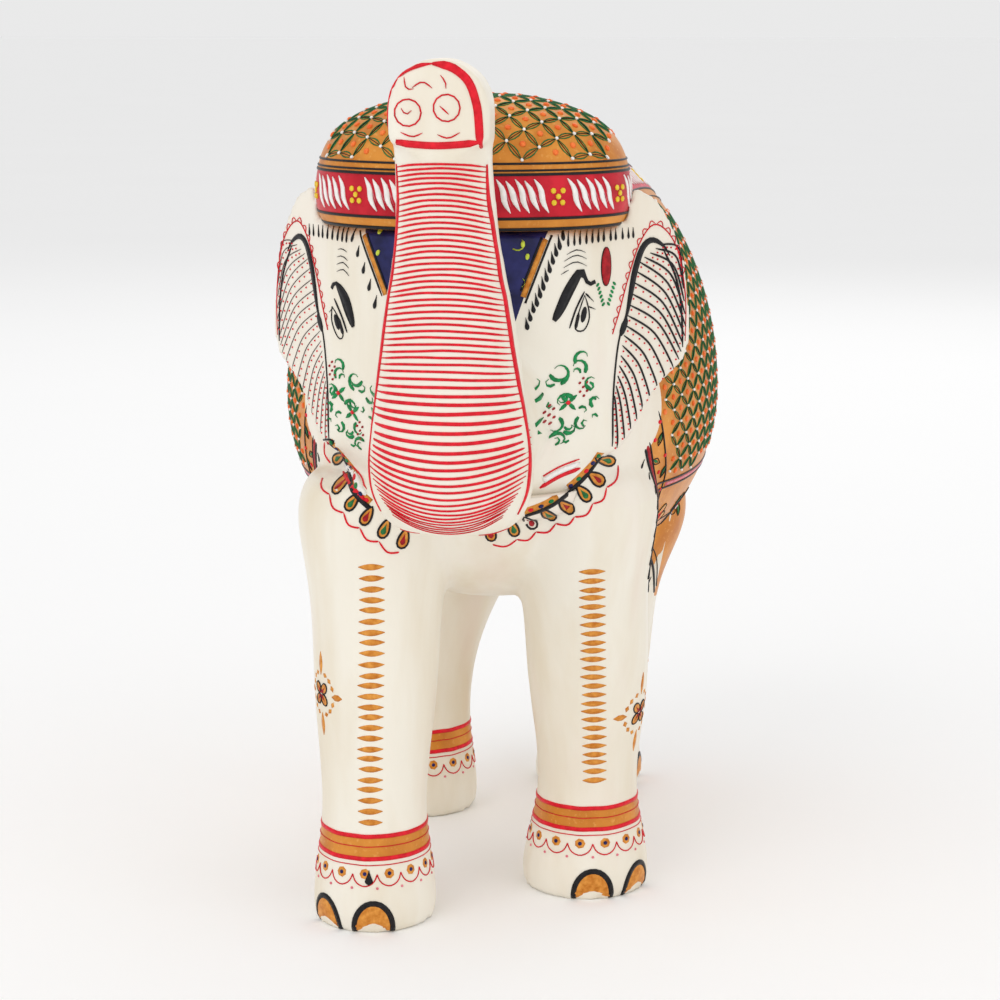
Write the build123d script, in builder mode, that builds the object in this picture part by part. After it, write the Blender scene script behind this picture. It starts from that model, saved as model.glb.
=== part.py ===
"""Carved wooden elephant with its trunk raised, built up from glued billets and dowels.

Frame: +Z up, the elephant faces -Y and its left side is +X. The origin is on the ground
under the middle of the bounding box. All sizes are millimetres. The carved surface is
shaped as one form and then shared out between billets that meet on flat glue planes.
"""

from math import cos, radians, sin
import os

from build123d import *

# ------------------------------------------------------------------ driving dimensions
HEIGHT = 305.0  # ground to the top of the trunk tip
MID_Y = 20.0  # middle of the torso along Y, so that the box is centred on the origin

# glue planes between the billets
NECK_Y = MID_Y - 44.0  # back of the head billet
JAW_Z = 157.0  # underside of the head billet, top of the lower lip
CAP_Z = 248.0  # underside of the headdress billet
LEG_TOP_Z = 118.0  # top of the leg billets
LEG_INNER_X = 3.0  # inner face of the leg billets
LEG_BILLET_REACH = 38.0  # half length of a leg billet along Y
FACE_Y = MID_Y - 98.0  # back of the trunk billet
TRUNK_BACK_Y = MID_Y - 117.5  # back of the trunk billet above the forehead line
TRUNK_BILLET_HALF_WIDTH = 33.0
TRUNK_LOW_Z = 145.0
FOREHEAD_Z = 222.0

# stance: the right legs stand ahead of these lines and the left legs behind them
FRONT_LEG_Y = MID_Y - 62.0
REAR_LEG_Y = MID_Y + 70.0
STRIDE = 22.0

# dowels: radius and length
LEG_DOWEL = (6.0, 50.0)
CROSS_DOWEL = (6.0, 70.0)
NECK_DOWEL = (6.0, 44.0)
CAP_DOWEL = (4.0, 28.0)
TRUNK_DOWEL = (5.0, 34.0)
EAR_PEG = (2.0, 14.0)
TAIL_PEG = (2.0, 12.0)
LIP_PEG = (2.5, 12.0)
GLUE_GAP = 0.05  # room for glue all round a dowel
BORE_END = 0.5  # room for air at each end of a bore

EAR_THICKNESS = 7.0
EAR_PEG_DEPTH = -6.0  # middle of the ear pegs, measured from the middle of the board
EAR_SWEEP = 48.7  # degrees the ears are swept back from the sideways direction
TIP_RADIUS = 16.0
TIP_FRONT = MID_Y - 159.0
TIP_DEPTH = 20.0
TIP_CHEEK = 10.5  # straight sides of the tip face below its arch
OUTSIDE = 400.0  # anything beyond the elephant

os.makedirs("parts", exist_ok=True)

# ------------------------------------------------------------------ carver's patterns
# torso: distance behind MID_Y, half width, height of the axis, rise and drop from it
TORSO = (
    (-102, 22, 186, 36, 28),
    (-90, 37, 184, 58, 46),
    (-72, 52, 182, 78, 62),
    (-40, 71, 180, 96, 72),
    (0, 80.5, 178, 104, 76),
    (40, 79.5, 176, 102, 78),
    (75, 69, 170, 87, 74),
    (97, 50, 166, 61, 58),
    (110, 24, 162, 30, 30),
)

# legs: height, middle in X, share of the stride, half width, half length
LEGS = {
    "front_left": (
        (0, 37, 1.0, 22.0, 22.0),
        (6, 37, 1.0, 23.4, 23.4),
        (30, 37.5, 0.95, 19.3, 20.5),
        (66, 38, 0.85, 20.5, 22.0),
        (98, 37.5, 0.7, 22.5, 27.0),
        (130, 35.5, 0.5, 26.0, 32.0),
        (160, 33, 0.35, 25.0, 32.0),
    ),
    "front_right": (
        (0, -35, 1.0, 20.8, 21.5),
        (6, -35, 1.0, 22.0, 23.0),
        (30, -35.2, 0.95, 19.4, 20.5),
        (66, -35, 0.85, 20.4, 22.0),
        (98, -34.8, 0.7, 22.5, 27.0),
        (130, -35, 0.5, 26.0, 32.0),
        (160, -33, 0.35, 25.0, 32.0),
    ),
    "rear_left": (
        (0, 26.5, 1.0, 21.4, 21.5),
        (6, 26.5, 1.0, 22.4, 23.0),
        (30, 28.8, 0.93, 19.3, 20.0),
        (60, 31.5, 0.8, 21.3, 22.0),
        (80, 30, 0.7, 25.0, 26.0),
        (96, 29, 0.55, 30.5, 30.0),
        (126, 31, 0.3, 36.0, 35.0),
        (160, 33, 0.15, 36.0, 32.0),
    ),
    "rear_right": (
        (0, -39, 1.0, 22.0, 21.5),
        (6, -39, 1.0, 23.4, 23.0),
        (30, -38, 0.93, 20.0, 20.0),
        (60, -38.5, 0.8, 22.0, 22.0),
        (80, -36, 0.7, 26.0, 26.0),
        (96, -34, 0.55, 32.0, 30.0),
        (126, -35, 0.3, 38.5, 35.0),
        (160, -35, 0.15, 37.0, 32.0),
    ),
}

# head: height, middle behind MID_Y, half width, half length
HEAD = (
    (150, -68, 34, 30),
    (162, -71, 42.5, 34.5),
    (182, -73, 47.5, 38),
    (206, -73.5, 46.5, 39.5),
    (228, -74, 46.0, 40.0),
    (252, -74, 49.0, 39.0),
)

# headdress: height above CAP_Z, half width, half length
HEADDRESS_Y = MID_Y - 76.0
HEADDRESS = (
    (0, 51.5, 39.0),
    (5, 53.8, 41.0),
    (17, 53.8, 41.0),
    (27, 50.5, 38.5),
    (36, 41.0, 31.0),
    (41, 28.0, 21.5),
    (43.5, 11.0, 8.5),
)

# trunk column: height, middle behind MID_Y, half width, half depth
TRUNK = (
    (150, -129, 14, 8),
    (154, -130, 22, 13),
    (163, -131.5, 26.8, 16.5),
    (178, -132.5, 27.2, 16.5),
    (196, -133.5, 25.0, 15.0),
    (228, -136, 20.6, 13.5),
    (254, -140, 16.6, 12.5),
    (270, -145, 15.9, 12.5),
    (282, -148, 15.6, 10.5),
)

# root of the trunk: distance behind MID_Y, height, half width, half height
TRUNK_ROOT = (
    (-88, 190, 34, 34),
    (-104, 187, 31, 30),
    (-118, 183, 28, 27),
    (-132, 178, 25, 23),
)

LOWER_LIP = (
    (147, -70, 32, 28),
    (151, -72, 39, 35),
    (JAW_Z + 2, -72, 41, 37.5),
)

# ear board: distance along the board from its root, height
EAR_OUTLINE = (
    (2, 264), (17, 259.5), (27, 253), (34, 243), (39, 229), (40.5, 213), (38.5, 200),
    (30, 194), (22, 188), (15, 178.5), (8, 171), (1, 168), (-5, 185), (-6, 225),
)
EAR_ROOT_X = 45.0
EAR_ROOT_Y = MID_Y - 86.0

# tail: height, middle in X, middle behind MID_Y, half width, half depth
TAIL = (
    (24, 29.5, 109, 5, 4.5),
    (34, 30, 109, 9, 7),
    (60, 30.5, 108, 10.5, 8),
    (92, 28.5, 109, 10.8, 8),
    (127, 25.5, 110, 10.8, 8),
    (160, 22.5, 111, 10.8, 8),
    (190, 18, 108, 10.5, 8),
    (214, 14, 100, 9, 7),
)


# ------------------------------------------------------------------ shapes used by many pieces
def stack(stations):
    """Loft of level ellipses, each (height, x, y, half width, half length)."""
    with BuildPart() as form:
        for z, x, y, half_width, half_length in stations:
            with BuildSketch(Plane(origin=(x, y, z))):
                Ellipse(half_width, half_length)
        loft()
    return form.part


def billet(low, high):
    """Block between two opposite corners."""
    with BuildPart() as block:
        with Locations(tuple((a + b) / 2 for a, b in zip(low, high))):
            Box(*(b - a for a, b in zip(low, high)))
    return block.part


def pegs(places, direction, size, room=0.0):
    """Like dowels lying along one direction; room makes the bores they sit in."""
    radius, length = size
    with BuildPart() as group:
        for place in places:
            with Locations(Plane(origin=place, z_dir=direction)):
                Cylinder(radius + (GLUE_GAP if room else 0), length + 2 * room)
    return group.part


def leg_form(name):
    line = FRONT_LEG_Y if name.startswith("front") else REAR_LEG_Y
    way = 1 if name.endswith("left") else -1
    return stack(
        (z, x, line + way * STRIDE * share, half_width, half_length)
        for z, x, share, half_width, half_length in LEGS[name]
    )


def leg_billet(name):
    line = FRONT_LEG_Y if name.startswith("front") else REAR_LEG_Y
    way = 1 if name.endswith("left") else -1
    middle = line + way * STRIDE * 0.6
    inner, outer = sorted((way * LEG_INNER_X, way * OUTSIDE))
    return billet(
        (inner, middle - LEG_BILLET_REACH, -1), (outer, middle + LEG_BILLET_REACH, LEG_TOP_Z)
    )


def ear_plane(way):
    along = (way * cos(radians(EAR_SWEEP)), sin(radians(EAR_SWEEP)), 0)
    outward = (way * sin(radians(EAR_SWEEP)), -cos(radians(EAR_SWEEP)), 0)
    return Plane(origin=(way * EAR_ROOT_X, EAR_ROOT_Y, 0), x_dir=along, z_dir=outward)


def ear_form(way):
    """Flat board, swept back, its edge rounded."""
    plane = ear_plane(way)
    turn = 1 if way > 0 else -1
    with BuildPart() as form:
        with BuildSketch(plane):
            with BuildLine():
                Spline(*((s, turn * z) for s, z in EAR_OUTLINE), periodic=True)
            make_face()
        extrude(amount=EAR_THICKNESS / 2, both=True)
    return form.part


# ------------------------------------------------------------------ carved forms
with BuildPart() as torso:
    for y, half_width, axis_z, rise, drop in TORSO:
        with BuildSketch(Plane(origin=(0, MID_Y + y, axis_z), x_dir=(1, 0, 0), z_dir=(0, -1, 0))):
            with BuildLine():
                EllipticalCenterArc((0, 0), half_width, rise, 0, arc_size=180)
                EllipticalCenterArc((0, 0), half_width, drop, 180, arc_size=180)
            make_face()
    loft()

with BuildPart() as trunk_column:
    add(stack((z, 0, MID_Y + y, w, d) for z, y, w, d in TRUNK))

with BuildPart() as trunk_tip:
    with BuildSketch(Plane(origin=(0, TIP_FRONT, HEIGHT - TIP_RADIUS), x_dir=(1, 0, 0), z_dir=(0, -1, 0))):
        Circle(TIP_RADIUS)
        with Locations((0, -TIP_CHEEK / 2)):
            Rectangle(2 * TIP_RADIUS, TIP_CHEEK)
    extrude(amount=-TIP_DEPTH)

with BuildPart() as trunk_root:
    for y, z, half_width, half_height in TRUNK_ROOT:
        with BuildSketch(Plane(origin=(0, MID_Y + y, z), x_dir=(1, 0, 0), z_dir=(0, -1, 0))):
            Ellipse(half_width, half_height)
    loft()

with BuildPart() as carved:
    add(torso.part)
    for leg_name in LEGS:
        add(leg_form(leg_name))
    add(stack((z, 0, MID_Y + y, w, d) for z, y, w, d in HEAD))
    add(trunk_root.part)
    add(trunk_column.part)
    add(trunk_tip.part)


# ------------------------------------------------------------------ billets
head_billet = billet((-OUTSIDE, -OUTSIDE, JAW_Z), (OUTSIDE, NECK_Y, CAP_Z))
with BuildPart() as trunk_billet:
    add(
        billet(
            (-TRUNK_BILLET_HALF_WIDTH, -OUTSIDE, TRUNK_LOW_Z),
            (TRUNK_BILLET_HALF_WIDTH, FACE_Y, FOREHEAD_Z),
        )
    )
    add(
        billet(
            (-TRUNK_BILLET_HALF_WIDTH, -OUTSIDE, FOREHEAD_Z),
            (TRUNK_BILLET_HALF_WIDTH, TRUNK_BACK_Y, OUTSIDE),
        )
    )
left_billet = billet((0, -OUTSIDE, -1), (OUTSIDE, OUTSIDE, OUTSIDE))
right_billet = billet((-OUTSIDE, -OUTSIDE, -1), (0, OUTSIDE, OUTSIDE))
under_head = billet((-OUTSIDE, -OUTSIDE, 0), (OUTSIDE, NECK_Y, JAW_Z))
leg_billets = {leg_name: leg_billet(leg_name) for leg_name in LEGS}

# ------------------------------------------------------------------ fastenings
# each is (places, direction, size); the bores are the same cylinders with room for glue
leg_dowel_places = [
    (x, line + way * STRIDE * 0.5, LEG_TOP_Z)
    for line in (FRONT_LEG_Y, REAR_LEG_Y)
    for way, x in ((1, 34), (-1, -34))
]
cross_dowel_places = [(0, MID_Y - 8, 242), (0, MID_Y + 60, 215), (0, MID_Y + 8, 142)]
neck_dowel_places = [(x, NECK_Y, z) for x, z in ((-24, 220), (24, 220), (-22, 178), (22, 178))]
cap_dowel_places = [(x, MID_Y - 76, CAP_Z) for x in (-26, 26)]
trunk_dowel_places = [(x, FACE_Y, 184) for x in (-12, 12)]
lip_peg_places = [(0, MID_Y - 101, JAW_Z)]
tail_peg_places = [(20, MID_Y + 104, 180), (25.5, MID_Y + 105, 135)]


def ear_peg_places(way):
    plane = ear_plane(way)
    turn = 1 if way > 0 else -1
    return [plane.from_local_coords((2, turn * z, EAR_PEG_DEPTH)) for z in (188, 222)]


fastenings = {
    "leg_dowels": [(leg_dowel_places, (0, 0, 1), LEG_DOWEL)],
    "torso_dowels": [(cross_dowel_places, (1, 0, 0), CROSS_DOWEL)],
    "neck_dowels": [(neck_dowel_places, (0, 1, 0), NECK_DOWEL)],
    "headdress_dowels": [(cap_dowel_places, (0, 0, 1), CAP_DOWEL)],
    "trunk_dowels": [(trunk_dowel_places, (0, 1, 0), TRUNK_DOWEL)],
    "ear_pegs": [(ear_peg_places(way), ear_plane(way).z_dir, EAR_PEG) for way in (1, -1)],
    "tail_pegs": [(tail_peg_places, (0, 1, 0), TAIL_PEG)],
    "lip_peg": [(lip_peg_places, (0, 0, 1), LIP_PEG)],
}

with BuildPart() as bores:
    for groups in fastenings.values():
        for places, direction, size in groups:
            add(pegs(places, direction, size, BORE_END))

# ------------------------------------------------------------------ pieces
pieces = {}

with BuildPart() as headdress:
    add(stack((CAP_Z + z, 0, HEADDRESS_Y, w, d) for z, w, d in HEADDRESS))
    add(bores.part, mode=Mode.SUBTRACT)
pieces["headdress"] = headdress

with BuildPart() as trunk:
    add(carved.part)
    add(trunk_billet.part, mode=Mode.INTERSECT)
    add(headdress.part, mode=Mode.SUBTRACT)
    add(bores.part, mode=Mode.SUBTRACT)
pieces["trunk"] = trunk

with BuildPart() as head:
    add(carved.part)
    add(head_billet, mode=Mode.INTERSECT)
    add(trunk_billet.part, mode=Mode.SUBTRACT)
    add(bores.part, mode=Mode.SUBTRACT)
pieces["head"] = head

for leg_name in LEGS:
    with BuildPart() as leg:
        add(carved.part)
        add(leg_billets[leg_name], mode=Mode.INTERSECT)
        add(bores.part, mode=Mode.SUBTRACT)
    pieces[leg_name + "_leg"] = leg

with BuildPart() as barrel:
    add(carved.part)
    add(head_billet, mode=Mode.SUBTRACT)
    add(trunk_billet.part, mode=Mode.SUBTRACT)
    for block in leg_billets.values():
        add(block, mode=Mode.SUBTRACT)
    add(headdress.part, mode=Mode.SUBTRACT)

for half_name, half_billet in (("left", left_billet), ("right", right_billet)):
    with BuildPart() as torso_half:
        add(barrel.part)
        add(half_billet, mode=Mode.INTERSECT)
        add(bores.part, mode=Mode.SUBTRACT)
    pieces[f"torso_{half_name}_half"] = torso_half

with BuildPart() as lower_lip:
    add(stack((z, 0, MID_Y + y, w, d) for z, y, w, d in LOWER_LIP))
    add(under_head, mode=Mode.INTERSECT)
    add(carved.part, mode=Mode.SUBTRACT)
    add(bores.part, mode=Mode.SUBTRACT)
pieces["lower_lip"] = lower_lip

for ear_name, way in (("left", 1), ("right", -1)):
    with BuildPart() as ear:
        add(ear_form(way))
        add(carved.part, mode=Mode.SUBTRACT)
        add(headdress.part, mode=Mode.SUBTRACT)
        add(bores.part, mode=Mode.SUBTRACT)
    pieces[ear_name + "_ear"] = ear

with BuildPart() as tail:
    add(stack((z, x, MID_Y + y, w, d) for z, x, y, w, d in TAIL))
    add(carved.part, mode=Mode.SUBTRACT)
    add(bores.part, mode=Mode.SUBTRACT)
pieces["tail"] = tail

for fastening_name, groups in fastenings.items():
    with BuildPart() as fastening:
        for places, direction, size in groups:
            add(pegs(places, direction, size))
    pieces[fastening_name] = fastening

for piece_name, piece in pieces.items():
    piece.part.label = piece_name
    export_step(piece.part, f"parts/{piece_name}.step")
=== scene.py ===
import math
import random

import bmesh
import bpy
import numpy as np
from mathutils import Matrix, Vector
from mathutils.bvhtree import BVHTree


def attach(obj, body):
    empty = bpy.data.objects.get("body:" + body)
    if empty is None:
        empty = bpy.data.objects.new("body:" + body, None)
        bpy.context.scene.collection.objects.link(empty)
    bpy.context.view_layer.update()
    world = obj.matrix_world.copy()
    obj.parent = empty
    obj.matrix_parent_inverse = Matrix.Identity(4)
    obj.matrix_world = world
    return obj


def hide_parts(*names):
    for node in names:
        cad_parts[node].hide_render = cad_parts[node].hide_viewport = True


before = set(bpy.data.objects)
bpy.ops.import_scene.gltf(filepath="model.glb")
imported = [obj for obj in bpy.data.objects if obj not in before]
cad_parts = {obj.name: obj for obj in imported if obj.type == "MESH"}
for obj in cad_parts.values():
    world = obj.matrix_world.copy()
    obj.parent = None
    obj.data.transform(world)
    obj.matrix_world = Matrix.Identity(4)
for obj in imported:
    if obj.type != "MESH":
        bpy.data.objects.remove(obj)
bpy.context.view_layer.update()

bl_info = {
    "name": "Painted elephant",
    "version": (1, 0, 0),
    "blender": (4, 5, 0),
    "location": "View3D > Sidebar > Elephant",
    "description": "Carved and hand-painted wooden elephant over its CAD frame",
    "category": "Object",
}

MM = 0.001
OUTSIDE = 400.0  # millimetres, clear of everything
MID_Y = 20.0  # middle of the torso
NECK_Y = MID_Y - 44.0  # glue planes between the blocks, as in the CAD
JAW_Z = 157.0
CAP_Z = 248.0
LEG_TOP_Z = 118.0
LEG_INNER_X = 3.0
LEG_REACH = 38.0
FACE_Y = MID_Y - 98.0
TRUNK_BACK_Y = MID_Y - 117.5
TRUNK_HALF = 33.0
TRUNK_LOW_Z = 145.0
FOREHEAD_Z = 222.0
LEGS = {  # side, middle of the block along Y, middle of the leg at the ankle
    "front_left_leg": (1, -28.8, (37.0, -20.0)),
    "front_right_leg": (-1, -55.2, (-35.0, -64.0)),
    "rear_left_leg": (1, 103.2, (26.5, 112.0)),
    "rear_right_leg": (-1, 76.8, (-39.0, 68.0)),
}
EARS = {"left_ear": 1, "right_ear": -1}
BODY = ("torso_left_half", "torso_right_half", "head", "trunk", *LEGS, *EARS)
DOWELS = (
    "torso_dowels", "leg_dowels", "neck_dowels", "headdress_dowels",
    "trunk_dowels", "ear_pegs", "tail_pegs", "lip_peg",
)
BARREL_Z = 178.0  # axis that the blanket wraps around
BARREL_R = 78.0
CAP_Y = MID_Y - 76.0
EAR_SWEEP = math.radians(48.7)
EAR_ROOT = (45.0, MID_Y - 86.0)
surfaces = {}  # name to a BVH tree in millimetres
paints = {}  # name to a material
hand = random.Random(7)  # unevenness of the brushwork


# ------------------------------------------------------------------ settings
class CarvingSettings(bpy.types.PropertyGroup):
    grain: bpy.props.FloatProperty(
        name="Grain", description="Spacing of the carved surface", default=0.0018,
        min=0.001, max=0.006, unit="LENGTH",
    )
    softening: bpy.props.IntProperty(
        name="Softening", description="Passes that round the creases between masses",
        default=16, min=0, max=60,
    )
    relief: bpy.props.FloatProperty(
        name="Paint height", description="How far a brush stroke stands off the wood",
        default=0.0002, min=0.00005, max=0.001, unit="LENGTH",
    )
    pitch: bpy.props.FloatProperty(
        name="Diaper pitch", description="Width of one diamond of the cloth's diaper",
        default=0.0105, min=0.004, max=0.03, unit="LENGTH",
    )


# ------------------------------------------------------------------ mesh helpers
def deselect():
    for obj in bpy.context.selected_objects:
        obj.select_set(False)


def active(obj):
    deselect()
    obj.select_set(True)
    bpy.context.view_layer.objects.active = obj


def join_copies(nodes, name):
    """One new object from copies of CAD nodes, their shared corners merged."""
    bm = bmesh.new()
    for node in nodes:
        bm.from_mesh(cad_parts[node].data)
    bmesh.ops.remove_doubles(bm, verts=bm.verts, dist=1e-6)
    mesh = bpy.data.meshes.new(name)
    bm.to_mesh(mesh)
    bm.free()
    obj = bpy.data.objects.new(name, mesh)
    bpy.context.scene.collection.objects.link(obj)
    return obj


def apply_modifier(obj, kind, **values):
    active(obj)
    modifier = obj.modifiers.new(kind, kind)
    for key, value in values.items():
        setattr(modifier, key, value)
    bpy.ops.object.modifier_apply(modifier=modifier.name)


def keep_largest(obj):
    """Drops anything that isn't joined to the largest shell."""
    bm = bmesh.new()
    bm.from_mesh(obj.data)
    left, shells = set(bm.verts), []
    while left:
        seed = left.pop()
        shell, stack = {seed}, [seed]
        while stack:
            for edge in stack.pop().link_edges:
                for v in edge.verts:
                    if v in left:
                        left.discard(v)
                        shell.add(v)
                        stack.append(v)
        shells.append(shell)
    largest = max(shells, key=len)
    loose = [v for shell in shells if shell is not largest for v in shell]
    bmesh.ops.delete(bm, geom=loose, context="VERTS")
    bm.to_mesh(obj.data)
    bm.free()


def soften(obj, passes, hold):
    """Smooths, less where hold(x, y, z) in millimetres is near 1."""
    group = obj.vertex_groups.new(name="soft")
    for v in obj.data.vertices:
        group.add([v.index], 1.0 - hold(*(v.co / MM)), "REPLACE")
    apply_modifier(obj, "SMOOTH", factor=0.5, iterations=passes, vertex_group="soft")
    obj.vertex_groups.clear()


def block(low, high, name="block"):
    """Box between two corners in millimetres."""
    low, high = Vector(low) * MM, Vector(high) * MM
    deselect()
    bpy.ops.mesh.primitive_cube_add(size=1, location=(low + high) / 2)
    obj = bpy.context.object
    obj.name = name
    obj.scale = high - low
    bpy.ops.object.transform_apply(location=True, rotation=True, scale=True)
    return obj


def cut(obj, low, high, operation):
    tool = block(low, high)
    apply_modifier(obj, "BOOLEAN", object=tool, operation=operation, solver="MANIFOLD")
    bpy.data.objects.remove(tool)


def duplicate(obj, name):
    new = obj.copy()
    new.data = obj.data.copy()
    new.name = name
    bpy.context.scene.collection.objects.link(new)
    return new


def tree_of(*objects):
    verts, faces = [], []
    for obj in objects:
        base = len(verts)
        verts += [v.co / MM for v in obj.data.vertices]
        faces += [tuple(base + i for i in p.vertices) for p in obj.data.polygons]
    return BVHTree.FromPolygons(verts, faces)


def finish_piece(obj, node, material, angle=40.0):
    """Shading, material, body and the CAD node that the piece stands for."""
    active(obj)
    bpy.ops.object.shade_smooth_by_angle(angle=math.radians(angle))
    obj.data.materials.clear()
    obj.data.materials.append(material)
    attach(obj, "root")
    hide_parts(node)


def take_normals(obj, whole):
    """Shading of a cut piece follows the uncut form, so that the joint doesn't show."""
    apply_modifier(
        obj, "DATA_TRANSFER", object=whole, use_loop_data=True,
        data_types_loops={"CUSTOM_NORMAL"}, loop_mapping="POLYINTERP_NEAREST",
    )


# ------------------------------------------------------------------ materials
def srgb(red, green, blue):
    def linear(c):
        c /= 255
        return c / 12.92 if c <= 0.04045 else ((c + 0.055) / 1.055) ** 2.4

    return (linear(red), linear(green), linear(blue), 1.0)


class Graph:
    """Builds a procedural material around a Principled shader."""

    def __init__(self, name):
        self.material = bpy.data.materials.new(name)
        self.material.use_nodes = True
        self.tree = self.material.node_tree
        self.shader = self.tree.nodes["Principled BSDF"]
        self.place = self.add("ShaderNodeTexCoord").outputs["Object"]

    def add(self, kind, **values):
        node = self.tree.nodes.new(kind)
        for key, value in values.items():
            setattr(node, key, value)
        return node

    def put(self, socket, value):
        if isinstance(value, bpy.types.NodeSocket):
            self.tree.links.new(value, socket)
        else:
            socket.default_value = value

    def maths(self, operation, *values):
        node = self.add("ShaderNodeMath", operation=operation)
        for socket, value in zip(node.inputs, values):
            self.put(socket, value)
        return node.outputs[0]

    def mix(self, factor, first, second):
        node = self.add("ShaderNodeMix", data_type="RGBA")
        self.put(node.inputs[0], factor)
        self.put(node.inputs[6], first)
        self.put(node.inputs[7], second)
        return node.outputs[2]

    def noise(self, scale, detail=3.0, stretch=(1, 1, 1)):
        mapping = self.add("ShaderNodeMapping")
        mapping.inputs["Scale"].default_value = stretch
        self.put(mapping.inputs["Vector"], self.place)
        node = self.add("ShaderNodeTexNoise")
        self.put(node.inputs["Vector"], mapping.outputs[0])
        node.inputs["Scale"].default_value = scale
        node.inputs["Detail"].default_value = detail
        return node.outputs[0]

    def spread(self, value, low, high):
        """Stretches low..high of a value over 0..1."""
        node = self.add("ShaderNodeMapRange", clamp=True)
        self.put(node.inputs[0], value)
        node.inputs[1].default_value = low
        node.inputs[2].default_value = high
        return node.outputs[0]

    def attribute(self, name):
        return self.add("ShaderNodeAttribute", attribute_name=name).outputs["Fac"]

    def height(self):
        """Height in millimetres."""
        node = self.add("ShaderNodeSeparateXYZ")
        self.put(node.inputs[0], self.place)
        return self.maths("MULTIPLY", node.outputs[2], 1000.0)

    def between(self, value, low, high):
        above = self.maths("GREATER_THAN", value, low)
        return self.maths("MULTIPLY", above, self.maths("LESS_THAN", value, high))

    def finish(self, colour, rough=(0.3, 0.5), metallic=0.0, coat=0.06, bump=0.05, fine=900.0):
        self.put(self.shader.inputs["Base Color"], colour)
        self.shader.inputs["Coat Weight"].default_value = coat
        self.shader.inputs["Coat Roughness"].default_value = 0.18
        self.shader.inputs["Specular IOR Level"].default_value = 0.22
        self.put(self.shader.inputs["Metallic"], metallic)
        grain = self.add("ShaderNodeMapRange")
        self.put(grain.inputs[0], self.noise(fine, 4.0))
        grain.inputs[3].default_value, grain.inputs[4].default_value = rough
        self.put(self.shader.inputs["Roughness"], grain.outputs[0])
        node = self.add("ShaderNodeBump")
        node.inputs["Strength"].default_value = bump
        node.inputs["Distance"].default_value = 0.0004
        self.put(node.inputs["Height"], self.noise(fine * 0.6, 5.0, (1, 1, 0.35)))
        self.put(self.shader.inputs["Normal"], node.outputs[0])
        return self.material


CREAM = srgb(244, 238, 224), srgb(230, 217, 192), srgb(236, 212, 202)
# gilt tones: lighter, darker, and the pale gold of the painted glints
GILT = srgb(226, 150, 58), srgb(196, 116, 36), srgb(246, 194, 110)


def cream_colour(graph):
    """Cream primer with warm upright streaks and a few faint rosy smears."""
    streaks = graph.spread(graph.noise(42.0, 4.0, (1, 1, 0.22)), 0.42, 0.75)
    base = graph.mix(streaks, CREAM[0], CREAM[1])
    smears = graph.spread(graph.noise(30.0, 2.0, (1, 1, 0.4)), 0.62, 0.85)
    return graph.mix(graph.maths("MULTIPLY", smears, 0.45), base, CREAM[2])


def gilt_colour(graph):
    """Gold-orange ground, uneven as laid on with a brush, with painted glints: fine specks lightened halfway to a pale
    gold.
    """
    patches = graph.spread(graph.noise(90.0, 4.0, (1, 1, 0.5)), 0.3, 0.7)
    base = graph.mix(patches, GILT[1], GILT[0])
    # painted glints: fine random specks of pale gold standing in for light caught by the paint
    painted_glints = graph.spread(graph.noise(700.0, 3.0), 0.58, 0.8)
    return graph.mix(graph.maths("MULTIPLY", painted_glints, 0.5), base, GILT[2])


def body_paint():
    """Cream ground with the flat painted fields, each bounded by its own signed distance."""
    graph = Graph("painted lacquer")
    colour = cream_colour(graph)
    shade = graph.spread(graph.noise(160.0, 3.0), 0.3, 0.7)
    fields = (
        ("gilt", gilt_colour(graph)),
        ("crimson", graph.mix(shade, srgb(120, 6, 28), srgb(168, 14, 40))),
        ("rose", graph.mix(shade, srgb(196, 24, 56), srgb(226, 62, 88))),
        ("navy", graph.mix(shade, srgb(16, 18, 62), srgb(40, 42, 104))),
    )
    for name, paint in fields:
        colour = graph.mix(graph.maths("GREATER_THAN", graph.attribute(name), 0.0), colour, paint)
    z = graph.height()
    anklet = graph.maths("MULTIPLY", graph.between(z, 27.2, 34.2), graph.attribute("ankle"))
    colour = graph.mix(anklet, colour, gilt_colour(graph))
    gloss = graph.maths("MULTIPLY", graph.maths("GREATER_THAN", graph.attribute("gilt"), 0.0), 0.12)
    return graph.finish(colour, (0.28, 0.46), gloss, bump=0.09)


def cap_paint():
    """Headdress: gilt rim, red band, gilt cushion above."""
    graph = Graph("headdress paint")
    z = graph.height()
    shade = graph.spread(graph.noise(140.0, 3.0), 0.3, 0.7)
    red = graph.mix(shade, srgb(176, 10, 34), srgb(214, 30, 50))
    band = graph.between(z, CAP_Z + 4.2, CAP_Z + 19.0)
    return graph.finish(graph.mix(band, gilt_colour(graph), red), (0.28, 0.46), 0.1, bump=0.09)


def tail_paint():
    """Tail: the body's ground with a black tuft."""
    graph = Graph("tail paint")
    colour = cream_colour(graph)
    edge = graph.maths("ADD", graph.height(), graph.maths("MULTIPLY", graph.noise(420.0), 6.0))
    colour = graph.mix(graph.maths("LESS_THAN", edge, 55.0), colour, srgb(14, 13, 14))
    gilt = graph.maths("GREATER_THAN", graph.attribute("gilt"), 0.0)
    return graph.finish(graph.mix(gilt, colour, gilt_colour(graph)), bump=0.09)


def cream_paint(name, tint):
    graph = Graph(name)
    return graph.finish(graph.mix(0.18, cream_colour(graph), tint), (0.28, 0.46), bump=0.09)


def brush_paint(name, dark, light, metallic=0.0, rough=(0.3, 0.48)):
    """One pot of paint, thicker and thinner along a stroke."""
    graph = Graph(name)
    shade = graph.spread(graph.noise(520.0, 3.0), 0.3, 0.7)
    return graph.finish(graph.mix(shade, dark, light), rough, metallic, bump=0.04)


def wood():
    graph = Graph("bare wood")
    rings = graph.spread(graph.noise(260.0, 4.0, (1, 1, 0.08)), 0.3, 0.7)
    colour = graph.mix(rings, srgb(160, 112, 66), srgb(206, 164, 112))
    return graph.finish(colour, (0.5, 0.7), coat=0.0)


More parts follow.
